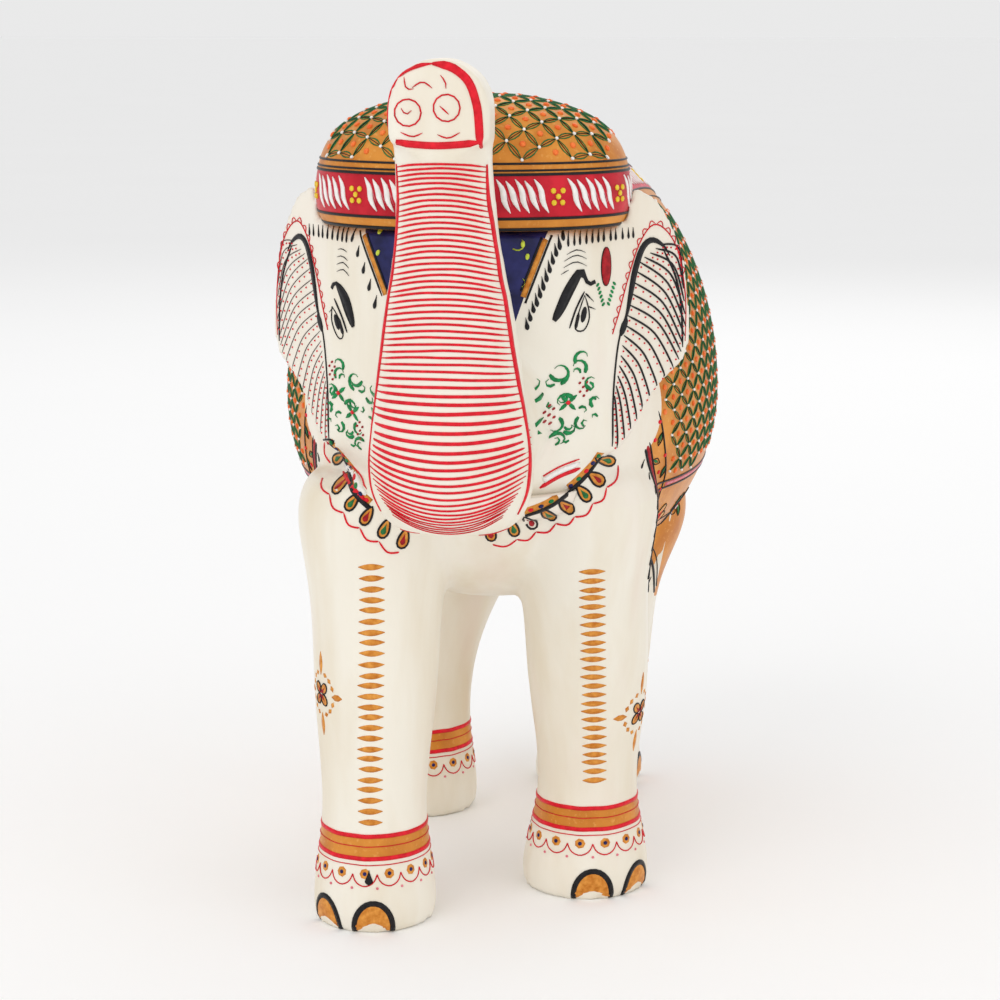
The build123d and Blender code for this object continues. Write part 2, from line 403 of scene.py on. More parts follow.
POTS = {  # slot, darker and lighter tone, height above the ground paint in millimetres
    "gold": ("gold_paint", (196, 114, 30), (232, 160, 70), 0.0),
    "pale": ("gold_paint", (218, 150, 64), (242, 190, 106), 0.02),
    "cream": ("cream_lacquer", (228, 216, 190), (244, 238, 222), 0.02),
    "rose": ("red_paint", (214, 92, 112), (240, 150, 158), 0.14),
    "navy": ("navy_paint", (14, 16, 66), (34, 38, 104), 0.17),
    "green": ("green_paint", (0, 104, 50), (16, 150, 82), 0.16),
    "leaf": ("green_paint", (16, 88, 46), (48, 136, 72), 0.15),
    "red": ("red_paint", (206, 8, 30), (236, 26, 46), 0.18),
    "crimson": ("red_paint", (136, 4, 20), (186, 24, 34), 0.19),
    "black": ("black_paint", (8, 8, 10), (30, 28, 32), 0.2),
    "grey": ("black_paint", (86, 74, 72), (124, 110, 106), 0.1),
    "yellow": ("yellow_paint", (226, 184, 20), (246, 220, 70), 0.24),
    "lime": ("yellow_paint", (184, 204, 40), (222, 232, 96), 0.22),
    "orange": ("relief_paste", (236, 92, 26), (252, 132, 62), 0.0),
    "white": ("white_paint", (238, 236, 232), (252, 250, 246), 0.26),
}


def mix_paints():
    paints["body"] = body_paint()
    paints["cap"] = cap_paint()
    paints["tail"] = tail_paint()
    paints["ear"] = cream_paint("ear paint", srgb(240, 228, 218))
    paints["lip"] = cream_paint("lip paint", srgb(240, 216, 206))
    paints["wood"] = wood()
    for name, (slot, dark, light, lift) in POTS.items():
        metallic = 0.15 if slot == "gold_paint" else 0.0
        paints[name] = brush_paint(name + " paint", srgb(*dark), srgb(*light), metallic)


# ------------------------------------------------------------------ charts: two numbers to a spot on the wood
def cast(tree, start, way):
    place, normal, index, distance = surfaces[tree].ray_cast(Vector(start), Vector(way))
    return None if place is None else (place, normal, surfaces[tree])


def front(x, z):
    return cast("skin", (x, -OUTSIDE, z), (0, 1, 0))


def face(x, z):
    """The face behind the trunk: nothing where the trunk itself is in the way."""
    hit = front(x, z)
    return hit if hit and hit[0].y > TRUNK_EDGE_Y - 3 else None


def rear(x, z):
    return cast("skin", (x, OUTSIDE, z), (0, -1, 0))


def cap_front(x, arc):
    """Headdress, by x and by the arc over it from front to back, 0 at the top."""
    turn = arc / 42.0
    out = Vector((0, math.sin(turn), math.cos(turn)))
    return cast("cap", Vector((x, CAP_Y, CAP_Z)) + out * 90, -out)


def cap_ring(arc, z):
    """Side of the headdress, by the arc around it, 0 at the front, positive to the left side."""
    turn = arc / 50.0
    out = Vector((math.sin(turn), -math.cos(turn), 0))
    return cast("cap", Vector((0, CAP_Y, z)) + out * 90, -out)


def barrel(y, arc):
    """Torso, by y and by the arc around its long axis, 0 along the spine, positive to the left."""
    turn = arc / BARREL_R
    out = Vector((math.sin(turn), 0, math.cos(turn)))
    return cast("body", Vector((0, y, BARREL_Z)) + out * 130, -out)


def side(way):
    def chart(y, z):
        return cast("body", (way * OUTSIDE, y, z), (-way, 0, 0))

    return chart


def ear(way):
    """Face of an ear, by distance along it from its root and by height."""
    along = Vector((way * math.cos(EAR_SWEEP), math.sin(EAR_SWEEP), 0))
    out = Vector((way * math.sin(EAR_SWEEP), -math.cos(EAR_SWEEP), 0))
    tree = "left_ear" if way > 0 else "right_ear"

    def chart(s, z):
        start = Vector((way * EAR_ROOT[0], EAR_ROOT[1], z)) + along * s + out * 30
        return cast(tree, start, -out)

    return chart


def leg(name):
    """Leg, by the arc around it, 0 at the front and positive outwards, and by height."""
    way, middle, (x, y) = LEGS[name]

    def chart(arc, z):
        turn = arc / 21.0
        out = Vector((way * math.sin(turn), -math.cos(turn), 0))
        return cast("body", Vector((x, y, z)) + out * 34, -out)

    return chart


# ------------------------------------------------------------------ brushwork
def curve_through(points, step):
    """Even points along a smooth curve through the given ones."""
    if len(points) == 2:
        fine = points
    else:
        ends = [points[0], *points, points[-1]]
        fine = []
        for p0, p1, p2, p3 in zip(ends, ends[1:], ends[2:], ends[3:]):
            count = max(2, int(math.dist(p1, p2) / step) + 1)
            for i in range(count):
                t = i / count
                fine.append(tuple(
                    0.5 * (2 * b + (c - a) * t + (2 * a - 5 * b + 4 * c - d) * t * t
                           + (3 * b - a - 3 * c + d) * t ** 3)
                    for a, b, c, d in zip(p0, p1, p2, p3)
                ))
        fine.append(points[-1])
    lengths = [0.0]
    for a, b in zip(fine, fine[1:]):
        lengths.append(lengths[-1] + math.dist(a, b))
    count = max(2, int(math.ceil(lengths[-1] / step)) + 1)
    us = np.interp(np.linspace(0, lengths[-1], count), lengths, [p[0] for p in fine])
    vs = np.interp(np.linspace(0, lengths[-1], count), lengths, [p[1] for p in fine])
    return list(zip(us.tolist(), vs.tolist()))


def line_shape(t):
    return min(1.0, 0.35 + 6 * min(t, 1 - t))


def leaf_shape(t):
    return math.sin(math.pi * min(max(t, 0.02), 0.98)) ** 0.8


def drop_shape(t):
    return min(1.0, (t / 0.72) ** 1.2) if t < 0.72 else math.sqrt(max(0.02, 1 - ((t - 0.72) / 0.29) ** 2))


def flick_shape(t):
    return max(0.06, 1 - t) * min(1.0, 0.5 + 5 * t)


FINE_LINE = 0.6  # widths in millimetres at which a stroke gets flat sides, and follows the wood across
BROAD_LINE = 1.3


class Brush:
    """Gathers strokes of one paint and makes them one closed mesh on the wood."""

    def __init__(self, area, pot, relief):
        self.name = area + "_" + pot
        self.slot, dark, light, self.lift = POTS[pot]
        self.weight = 1.3 if pot == "black" else 1.0
        self.material = paints[pot]
        self.relief = relief
        self.verts, self.faces = [], []

    def stroke(self, chart, points, width, shape=line_shape, step=1.7):
        width *= self.weight
        """Raised line through chart points."""
        route = curve_through(points, step)
        run, last = [], len(route) - 1
        for i, (u, v) in enumerate(route):
            hit = chart(u, v)
            if hit is not None and run and (hit[0] - run[-1][0]).length > 4.0 * step:
                hit = None
            if hit is None:
                self._lay(run)
                run = []
            else:
                run.append((*hit, width * shape(i / last)))
        self._lay(run)

    def _lay(self, run):
        """Lays a bead of paint along hits: a ridge for a fine line, a flat-sided bead for a broad one."""
        if len(run) < 2:
            return
        broadest = max(w for *hit, w in run)
        base, last = len(self.verts), len(run) - 1
        for i, (place, normal, tree, w) in enumerate(run):
            ahead = run[min(i + 1, last)][0] - run[max(i - 1, 0)][0]
            across = ahead.cross(normal)
            across = across.normalized() * max(w, 0.08) / 2
            rise = place + normal * (self.lift + self.relief * min(1.0, 0.4 + w))
            if broadest < FINE_LINE:
                low = normal * (self.lift - 0.12)
                self.verts += [place + across + low, rise, place - across + low]
                continue
            edges = []
            for way in (1, -1):
                spot, up = place + across * way, normal
                if broadest > BROAD_LINE:
                    near = tree.find_nearest(spot)
                    if near[0] is not None and (near[0] - spot).length < w:
                        spot, up = near[0], near[1]
                edges.append((spot - up * 0.12, spot + up * (self.lift + 0.3 * self.relief)))
            self.verts += [edges[0][0], edges[0][1], rise, edges[1][1], edges[1][0]]
        count = 3 if broadest < FINE_LINE else 5
        for i in range(last):
            a = base + count * i
            b = a + count
            for k in range(count):
                m = (k + 1) % count
                self.faces.append((a + k, b + k, b + m, a + m))
        end = base + count * last
        self.faces.append(tuple(base + k for k in range(count)))
        self.faces.append(tuple(end + k for k in reversed(range(count))))

    def ring(self, chart, u, v, radius, width, flat=1.0, sides=12):
        turns = [2 * math.pi * i / sides for i in range(sides + 1)]
        route = [(u + radius * math.cos(a), v + radius * flat * math.sin(a)) for a in turns]
        self.stroke(chart, route, width, lambda t: 1.0, step=max(0.7, radius / 2))

    def patch(self, chart, outline, rise=1.0, rim=0.82):
        """Filled shape inside a closed outline of chart points, in rings that follow the wood."""
        cu = sum(p[0] for p in outline) / len(outline)
        cv = sum(p[1] for p in outline) / len(outline)
        reach = max(math.dist(p, (cu, cv)) for p in outline)
        inner = max(1, round(reach * rim / 1.7))
        high = self.lift + self.relief * rise
        rings = [(1.0, -0.12), (0.97, high * 0.7), *((rim * (1 - k / inner), high) for k in range(inner))]
        spots = []
        for scale, lift in rings:
            for u, v in outline:
                hit = chart(cu + (u - cu) * scale, cv + (v - cv) * scale)
                if hit is None:
                    return
                spots.append(hit[0] + hit[1] * lift)
        hit = chart(cu, cv)
        if hit is None or max((spot - hit[0]).length for spot in spots) > 2.2 * reach + 2:
            return
        middle, n = hit[0], len(outline)
        base = len(self.verts)
        turn = sum(((spots[i] - middle).cross(spots[(i + 1) % n] - middle) for i in range(n)), Vector()).dot(hit[1])
        self.verts += spots + [middle + hit[1] * high, middle - hit[1] * 0.4]
        made = []
        top = base + n * (len(rings) - 1)
        for i in range(n):
            j = (i + 1) % n
            for k in range(len(rings) - 1):
                a = base + n * k
                made.append((a + i, a + j, a + n + j, a + n + i))
            made.append((top + i, top + j, top + n))
            made.append((base + j, base + i, top + n + 1))
        self.faces += made if turn > 0 else [f[::-1] for f in made]

    def oval(self, chart, u, v, long, wide, turn=0.0, sides=9, rise=1.0):
        """Oval patch, its long axis at an angle from the chart's first axis."""
        self.patch(chart, oval_points(u, v, long, wide, turn, sides), rise)

    def dot(self, chart, u, v, radius, rise=1.0):
        self.oval(chart, u, v, 2 * radius, 2 * radius, 0.0, 7, rise)

    def drop(self, chart, u, v, length, width, turn=-math.pi / 2):
        """Teardrop from its point at u, v, heading along the turn."""
        end = (u + length * math.cos(turn), v + length * math.sin(turn))
        self.stroke(chart, [(u, v), end], width, drop_shape, step=max(0.5, length / 8))

    def make(self):
        if not self.faces:
            return
        mesh = bpy.data.meshes.new(self.name)
        mesh.from_pydata([tuple(v * MM) for v in self.verts], [], self.faces)
        mesh.update()
        mesh.polygons.foreach_set("use_smooth", [True] * len(mesh.polygons))
        mesh.materials.append(self.material)
        obj = bpy.data.objects.new(self.name, mesh)
        bpy.context.scene.collection.objects.link(obj)
        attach(obj, "root")


def oval_points(u, v, long, wide, turn=0.0, sides=9):
    points = []
    for i in range(sides):
        a = 2 * math.pi * i / sides
        p, q = long / 2 * math.cos(a), wide / 2 * math.sin(a)
        points.append((u + p * math.cos(turn) - q * math.sin(turn), v + p * math.sin(turn) + q * math.cos(turn)))
    return points


class Pots(dict):
    """The brushes used on one area, made as they are asked for."""

    def __init__(self, area):
        super().__init__()
        self.area = area
        self.relief = bpy.context.scene.carving.relief / MM

    def __missing__(self, pot):
        self[pot] = Brush(self.area, pot, self.relief)
        return self[pot]

    def make(self):
        for brush in self.values():
            brush.make()


def unsteady(amount):
    return hand.uniform(-amount, amount)


def along(points, count):
    """Evenly spaced points on a smooth route, each with its heading."""
    route = curve_through(points, 0.5)
    lengths = [0.0]
    for a, b in zip(route, route[1:]):
        lengths.append(lengths[-1] + math.dist(a, b))
    result = []
    for i in range(count):
        at = lengths[-1] * (i + 0.5) / count
        k = min(int(np.searchsorted(lengths, at)), len(route) - 1)
        a, b = route[max(k - 1, 0)], route[min(k + 1, len(route) - 1)]
        result.append((route[k][0], route[k][1], math.atan2(b[1] - a[1], b[0] - a[0])))
    return result


def polar(u, v, turn, reach):
    return (u + reach * math.cos(turn), v + reach * math.sin(turn))


# ------------------------------------------------------------------ motifs
def scroll(brush, chart, u, v, radius, turn, bend, width=0.9, sweep=3.6):
    """C-shaped curl that starts at u, v and winds inwards."""
    centre = polar(u, v, turn, radius)
    points = []
    for i in range(7):
        a = turn + math.pi + bend * sweep * i / 6
        points.append(polar(*centre, a, radius * (1 - 0.11 * i)))
    brush.stroke(chart, points, width, flick_shape if width > 0.6 else line_shape, step=1.3)


def leaf(pots, chart, u, v, length, turn, fill="leaf", outline="black"):
    """Outlined leaf with a stroke of colour inside."""
    tip = polar(u, v, turn, length)
    for bend in (1, -1):
        belly = polar(*polar(u, v, turn, length * 0.5), turn + bend * math.pi / 2, length * 0.24)
        pots[outline].stroke(chart, [(u, v), belly, tip], 0.34)
    pots[fill].stroke(chart, [polar(u, v, turn, length * 0.22), polar(u, v, turn, length * 0.9)],
                      length * 0.24, leaf_shape)


def blossom(pots, chart, u, v, radius, petals=5, turn=0.3):
    """Round-petalled flower, red at the heart."""
    for i in range(petals):
        a = turn + 2 * math.pi * i / petals
        middle = polar(u, v, a, radius * 0.58)
        outline = oval_points(*middle, radius * 0.86, radius * 0.68, a, 9)
        pots["pale"].patch(chart, outline)
        pots["black"].stroke(chart, [*outline, outline[0]], 0.36, lambda t: 1.0, step=1.1)
        for spread in (-0.3, 0.0, 0.3):
            end = polar(u, v, a + spread, radius * (0.84 if spread == 0 else 0.66))
            pots["red"].stroke(chart, [end, (u, v)], radius * 0.2, drop_shape, step=1.2)
    pots["white"].dot(chart, u, v, 0.75, 2.0)


def relief_dot(brush, chart, u, v, radius=1.05, rise=0.75):
    """Raised dot of thick paint from a cone."""
    hit = chart(u, v)
    if hit is None:
        return
    place, normal, tree = hit
    side_way = normal.orthogonal().normalized()
    other = normal.cross(side_way)
    base, sides = len(brush.verts), 7
    for scale, lift in ((1.0, -0.15), (0.86, rise * 0.55)):
        for i in range(sides):
            a = 2 * math.pi * i / sides
            rim = (side_way * math.cos(a) + other * math.sin(a)) * radius * scale
            brush.verts.append(place + rim + normal * lift)
    brush.verts += [place + normal * rise, place - normal * 0.3]
    for i in range(sides):
        j = (i + 1) % sides
        brush.faces += [
            (base + i, base + j, base + sides + j, base + sides + i),
            (base + sides + i, base + sides + j, base + 2 * sides),
            (base + j, base + i, base + 2 * sides + 1),
        ]


def diaper(pots, chart, inside, low, high, pitch, relief=True):
    """Diagonal lattice of leaf arcs with a white dot at each crossing and a raised dot in each cell."""
    half = pitch / 2
    for i in range(int((low[0]) // half), int(high[0] // half) + 1):
        for j in range(int(low[1] // half), int(high[1] // half) + 1):
            u, v = i * half, j * half
            if (i + j) % 2:
                if relief and inside(u, v, 1.5):
                    relief_dot(pots["orange"], chart, u, v, 1.15)
                continue
            if not inside(u, v, 0.0):
                continue
            pots["white"].dot(chart, u, v, 0.55, 2.2)
            for du, dv in ((half, half), (half, -half)):
                end = (u + du, v + dv)
                if not inside(*end, 0.0):
                    continue
                pots["black"].stroke(chart, [(u, v), end], 0.24)
                turn = math.atan2(dv, du)
                for bend in (1, -1):
                    belly = polar(*polar(u, v, turn, math.hypot(du, dv) / 2), turn + bend * math.pi / 2, 0.95)
                    pots["leaf"].stroke(chart, [(u, v), belly, end], 0.55, leaf_shape)


# ------------------------------------------------------------------ outlines of the painted fields, x and z from behind
ARCH_OUTER = (
    (-76, 186), (-67, 203), (-60.5, 212), (-51, 224), (-39, 236), (-24, 244.5), (-8, 250.5), (5, 255),
    (14, 258.6), (26, 252), (39.5, 244), (53, 237), (60, 229), (68.6, 216.6), (75, 203), (79, 186),
)
ARCH_INNER = (
    (-56.6, 117), (-59.7, 131), (-61.8, 147), (-59.3, 167), (-54.7, 179), (-49.4, 191), (-43, 202),
    (-36, 211), (-26.4, 218.5), (-17, 225.4), (-7, 232), (1.5, 238.2), (9, 242.8), (15.6, 244),
    (25, 239.6), (34, 231), (43, 224), (51, 215), (60, 204), (64, 195), (67, 184), (68.8, 172),
    (69, 161), (67.4, 148), (65, 134), (62.7, 123),
)
CRIMSON_LOW = (
    (43, 224), (35, 226), (29, 226.8), (25.6, 229.5), (17, 230.3), (8, 229.2), (1, 231.2), (-5, 231.2), (-11, 228.4), (-17, 225.4),
)
TEARS_LOW = (
    (50.7, 214.5), (39.5, 214), (28.7, 215.4), (25.3, 218.2), (17.5, 219.9), (8.6, 219.4), (6, 216.4), (-6, 217.1), (-19.3, 220.6), (-27, 218.6),
)
SCALES_LOW = (
    (59.6, 204.2), (48.5, 204), (38, 201.8), (30.4, 202), (27, 204.7), (19, 206.1), (9.9, 205.3),
    (6.8, 202.4), (-5.2, 203), (-18.3, 206.4), (-36.5, 211),
)
ZIGZAG_TOP = (
    (68, 179.3), (53.5, 179.4), (40.8, 178.4), (25, 176.5), (11.9, 175.8), (-4.8, 176.2), (-17.4, 178.2),
    (-32, 180.8), (-45, 185), (-53, 189.6),
)
ZIGZAG_LOW = (
    (70, 167.4), (53.7, 166.9), (40.9, 165.8), (25, 164), (14.4, 163.4), (-4.8, 163.6), (-17.5, 165.6),
    (-31.9, 169.3), (-44.9, 174), (-56, 179.8),
)
SHOULDER = ((118, -30), (141, -31), (154, -33), (169, -41), (184, -47), (200, -48), (285, -48))  # z to y
HEM_Z = 118.0
BORDER_Z = 150.0
TRUNK_EDGE_Y = -100.0


def midline(y):
    """The cloth was painted off centre towards the tail."""
    return np.interp(y, (-20, 0, 45, 85, 110), (0, 5, 10, 14, 16))


def smooth_outline(points):
    return np.array(curve_through([tuple(map(float, p)) for p in points], 1.5))


def signed_distance(points, outline):
    """Distance in the chart from the edge of a closed outline, positive inside it."""
    best = np.full(len(points), 1e9)
    inside = np.zeros(len(points), bool)
    px, py = points[:, 0], points[:, 1]
    for (ax, ay), (bx, by) in zip(outline, np.roll(outline, -1, axis=0)):
        dx, dy = bx - ax, by - ay
        length = dx * dx + dy * dy
        if length < 1e-12:
            continue
        t = np.clip(((px - ax) * dx + (py - ay) * dy) / length, 0, 1)
        best = np.minimum(best, (px - ax - t * dx) ** 2 + (py - ay - t * dy) ** 2)
        crosses = (ay > py) != (by > py)
        if abs(dy) > 1e-12:
            inside ^= crosses & (px < ax + (py - ay) * dx / dy)
    return np.where(inside, 1.0, -1.0) * np.sqrt(best)


def between_lines(top, low):
    return np.vstack([smooth_outline(top), smooth_outline(low)[::-1]])


def hem_at(y):
    """Height of the cloth's lower edge, which drops to a corner on the thigh."""
    return HEM_Z - 36.0 * np.clip((np.asarray(y) - 52.0) / 46.0, 0.0, 1.0) ** 1.6


def hem_corner(z):
    """How far back the outline seen from behind starts to count, further back low on the thigh."""
    return np.interp(z, (100, 150, 190), (84, 70, 45))


def top_arc(x, z, y):
    """Arc from the painted midline on the upper half of the barrel."""
    return np.arctan2(x, z - BARREL_Z) * BARREL_R - midline(y)


def fields_at(points, is_tail=False):
    """Signed distances in millimetres of every painted field at these points."""
    x, y, z = points[:, 0], points[:, 1], points[:, 2]
    xz = np.column_stack([x, z])
    behind = y > 45
    inner = smooth_outline(ARCH_INNER)
    rump_outline = np.vstack([inner, [(53, 76), (50, 40), (-56, 40), (-57.5, 88)]])
    rump = signed_distance(xz, rump_outline)
    rump = np.where(y > hem_corner(z), rump, -20.0)
    if is_tail:
        rump = np.full(len(points), 20.0)
    arch_top = np.array([p for p in smooth_outline(ARCH_INNER) if p[1] > 224])
    crescent = np.vstack([arch_top, smooth_outline(CRIMSON_LOW)])
    sides = np.array([p for p in smooth_outline(ARCH_INNER) if 203 < p[1] < 226])
    right = sides[sides[:, 0] < 0]
    left = sides[sides[:, 0] > 0]
    gold_rows = np.vstack([smooth_outline(CRIMSON_LOW)[::-1], left, smooth_outline(SCALES_LOW), right])
    shoulder = np.interp(z, [p[0] for p in SHOULDER], [p[1] for p in SHOULDER])
    cloth = np.minimum(np.minimum(y - shoulder, z - hem_at(y)), -rump)
    rows = np.where(behind, signed_distance(xz, gold_rows), -20.0)
    zigzag = np.where(behind, signed_distance(xz, between_lines(ZIGZAG_TOP, ZIGZAG_LOW)), -20.0)
    if is_tail:
        cloth = np.full(len(points), -20.0)
        zigzag = cloth
    else:
        zigzag = np.minimum(zigzag, rump)
        rows = np.minimum(rows, rump + 0.5)
    red = np.where(behind, np.minimum(signed_distance(xz, crescent), rump), -20.0)
    off = np.abs(top_arc(x, z, y))
    outside_arch = signed_distance(xz, np.vstack([smooth_outline(ARCH_OUTER), [(79, 60), (-76, 60)]]))
    above = np.where(behind, -outside_arch, 20.0)
    strip = np.minimum(np.minimum(off - 30.0, 40.0 - off), np.minimum(above, cloth))
    diamond = np.minimum(np.minimum((86.5 - y) * 0.9 - off, (y - 16) * 0.62 - off + 2), cloth)
    face = signed_distance(xz, np.array([(-36, 254), (31, 254), (17, 213), (-20, 213)]))
    on_face = (y < -60) & (y > TRUNK_EDGE_Y - 3) & (z < CAP_Z + 6)
    face = np.where(on_face, face, -20.0)
    foot = np.where((z > 20) & (z < 45), 1.0, 0.0)
    return {
        "gilt": np.maximum(np.maximum(cloth, rows), zigzag),
        "crimson": red,
        "rose": strip,
        "navy": np.maximum(diamond, face),
        "ankle": foot,
    }


def write_fields(obj, is_tail=False):
    """Stores the painted fields on a finished piece."""
    co = np.zeros(len(obj.data.vertices) * 3, np.float32)
    obj.data.vertices.foreach_get("co", co)
    for name, values in fields_at(co.reshape(-1, 3).astype(float) / MM, is_tail).items():
        layer = obj.data.attributes.new(name, "FLOAT", "POINT")
        layer.data.foreach_set("value", np.clip(values, -6, 6).astype(np.float32))


EDGE_HEIGHTS = tuple(range(152, 276, 4))
trunk_edges = {}  # side to the x of the trunk's outline at EDGE_HEIGHTS


def find_trunk_edges():
    for way in (-1, 1):
        found = []
        for z in EDGE_HEIGHTS:
            x, reach = 0.0, 0.0
            while abs(x) < 34:
                hit = front(x, z)
                if hit is None or hit[0].y > TRUNK_EDGE_Y:
                    break
                reach = x
                x += way * 0.4
            found.append(reach)
        fit = np.polyfit(EDGE_HEIGHTS, found, 5)
        smooth = np.polyval(fit, EDGE_HEIGHTS)
        trunk_edges[way] = [way * min(abs(a), abs(b)) if z > 205 else a for a, b, z in zip(smooth, found, EDGE_HEIGHTS)]


def trunk_edge(z, way):
    return np.interp(z, EDGE_HEIGHTS, trunk_edges[way])


# ------------------------------------------------------------------ the paintings
def paint_trunk():
    pots = Pots("trunk")
    spacing_at = (150, 153, 157, 163, 172, 182, 195, 210, 235, 262, 275)
    spacings = (0.75, 0.9, 1.3, 2.2, 2.6, 3.3, 2.9, 2.2, 1.9, 1.8, 1.3)
    bows = (6, 6.5, 7, 7, 5.5, 2.5, 0.3, -1.6, -2.9, -2.6, -1.2)
    z = 151.5
    while z < 274:
        left, right = trunk_edge(z, -1) + 0.9, trunk_edge(z, 1) - 0.9
        bow = float(np.interp(z, spacing_at, bows))
        width = float(np.interp(z, (150, 165, 180, 192, 206, 275), (0.5, 0.75, 1.15, 1.25, 0.8, 0.7)))
        tilt = unsteady(0.4)
        points = []
        for i in range(7):
            t = i / 6
            x = left + (right - left) * t
            points.append((float(x), z + bow * (2 * t - 1) ** 2 + tilt * (t - 0.5) + unsteady(0.12)))
        pots["red"].stroke(front, points, width, step=2.4)
        z += float(np.interp(z, spacing_at, spacings))
    for way in (-1, 1):
        points = [(float(trunk_edge(z, way)) - way * 0.9, z) for z in range(158, 276, 6)]
        pots["red"].stroke(front, points, 2.0)
    low = [(-20, 152.5), (-12, 150.4), (0, 149.6), (12, 150.6), (19, 152.5)]
    pots["red"].stroke(front, low, 0.5)
    pots.make()


def paint_tip():
    pots = Pots("trunk_tip")
    red = pots["red"]
    red.stroke(front, [(-16, 278), (-15.9, 286), (-15.2, 293), (-12, 299.3), (-6, 302.6), (-1.5, 303.3)], 1.3)
    red.stroke(front, [(-1.5, 303.3), (4, 302.4), (9.5, 298.2), (12.2, 291), (13, 284), (13.2, 277.5)], 2.6)
    red.stroke(front, [(-16.4, 279.6), (-10, 278.8), (-1, 278.2), (7, 278.6), (13.2, 279.4)], 2.2)
    for x, z in ((-9.3, 288.3), (2.9, 289.8)):
        red.ring(front, x, z, 4.2, 0.55, 1.0, 14)
    red.stroke(front, [(-11.4, 289.7), (-9.9, 287.6), (-8.1, 289)], 0.5)
    red.stroke(front, [(0.7, 290.4), (3.6, 287.8)], 0.5)
    red.stroke(front, [(-10.4, 299.2), (-9.7, 295.6), (-7.4, 295.6)], 0.5)
    red.stroke(front, [(-7.8, 296), (-4.6, 297.8), (-1.6, 295.8)], 0.5)
    red.stroke(front, [(1, 299.8), (2.6, 297.6), (2.7, 295.7)], 0.5)
    red.stroke(front, [(-11.6, 282.3), (-7.9, 280.9), (-4.7, 282.1)], 0.5)
    red.stroke(front, [(0, 281.6), (3.4, 280.5), (7, 282.3)], 0.5)
    green = pots["green"]
    for x, z, turn in ((-8, 297, 1.2), (-3, 300, 1.9), (3, 297, 1.0), (8, 294, 2.2), (-11, 290, 1.6), (0, 291, 1.4)):
        scroll(green, rear, x, z, 2.2, turn, 1, 0.8)
        green.stroke(rear, [(x, z - 5), (x + 1.2, z)], 0.9, leaf_shape)
    pots.make()


def eye(pots, brow, lid, rim, pupil, lashes, wrinkles):
    """Lowered eye below a heavy brow, seen from the front."""
    black = pots["black"]
    black.stroke(face, brow, 3.4, brow_shape)
    black.stroke(face, lid, 0.5, line_shape, step=1.0)
    black.stroke(face, [*rim, rim[0]], 0.42, line_shape, step=1.0)
    u, v, turn = pupil
    pots["black"].patch(face, oval_points(u, v, 5.6, 1.7, turn, 10))
    black.stroke(face, [rim[-1], rim[-2]], 1.0, line_shape, step=0.9)
    for points in lashes:
        black.stroke(face, points, 0.6, flick_shape, step=0.9)
    for points in wrinkles:
        black.stroke(face, points, 0.32, leaf_shape)


def brow_shape(t):
    """Broad over most of the stroke, thin in the tail that turns down."""
    return 0.35 + 0.65 * math.sin(math.pi * min(1, t * 1.25)) ** 0.6 if t < 0.8 else 0.3


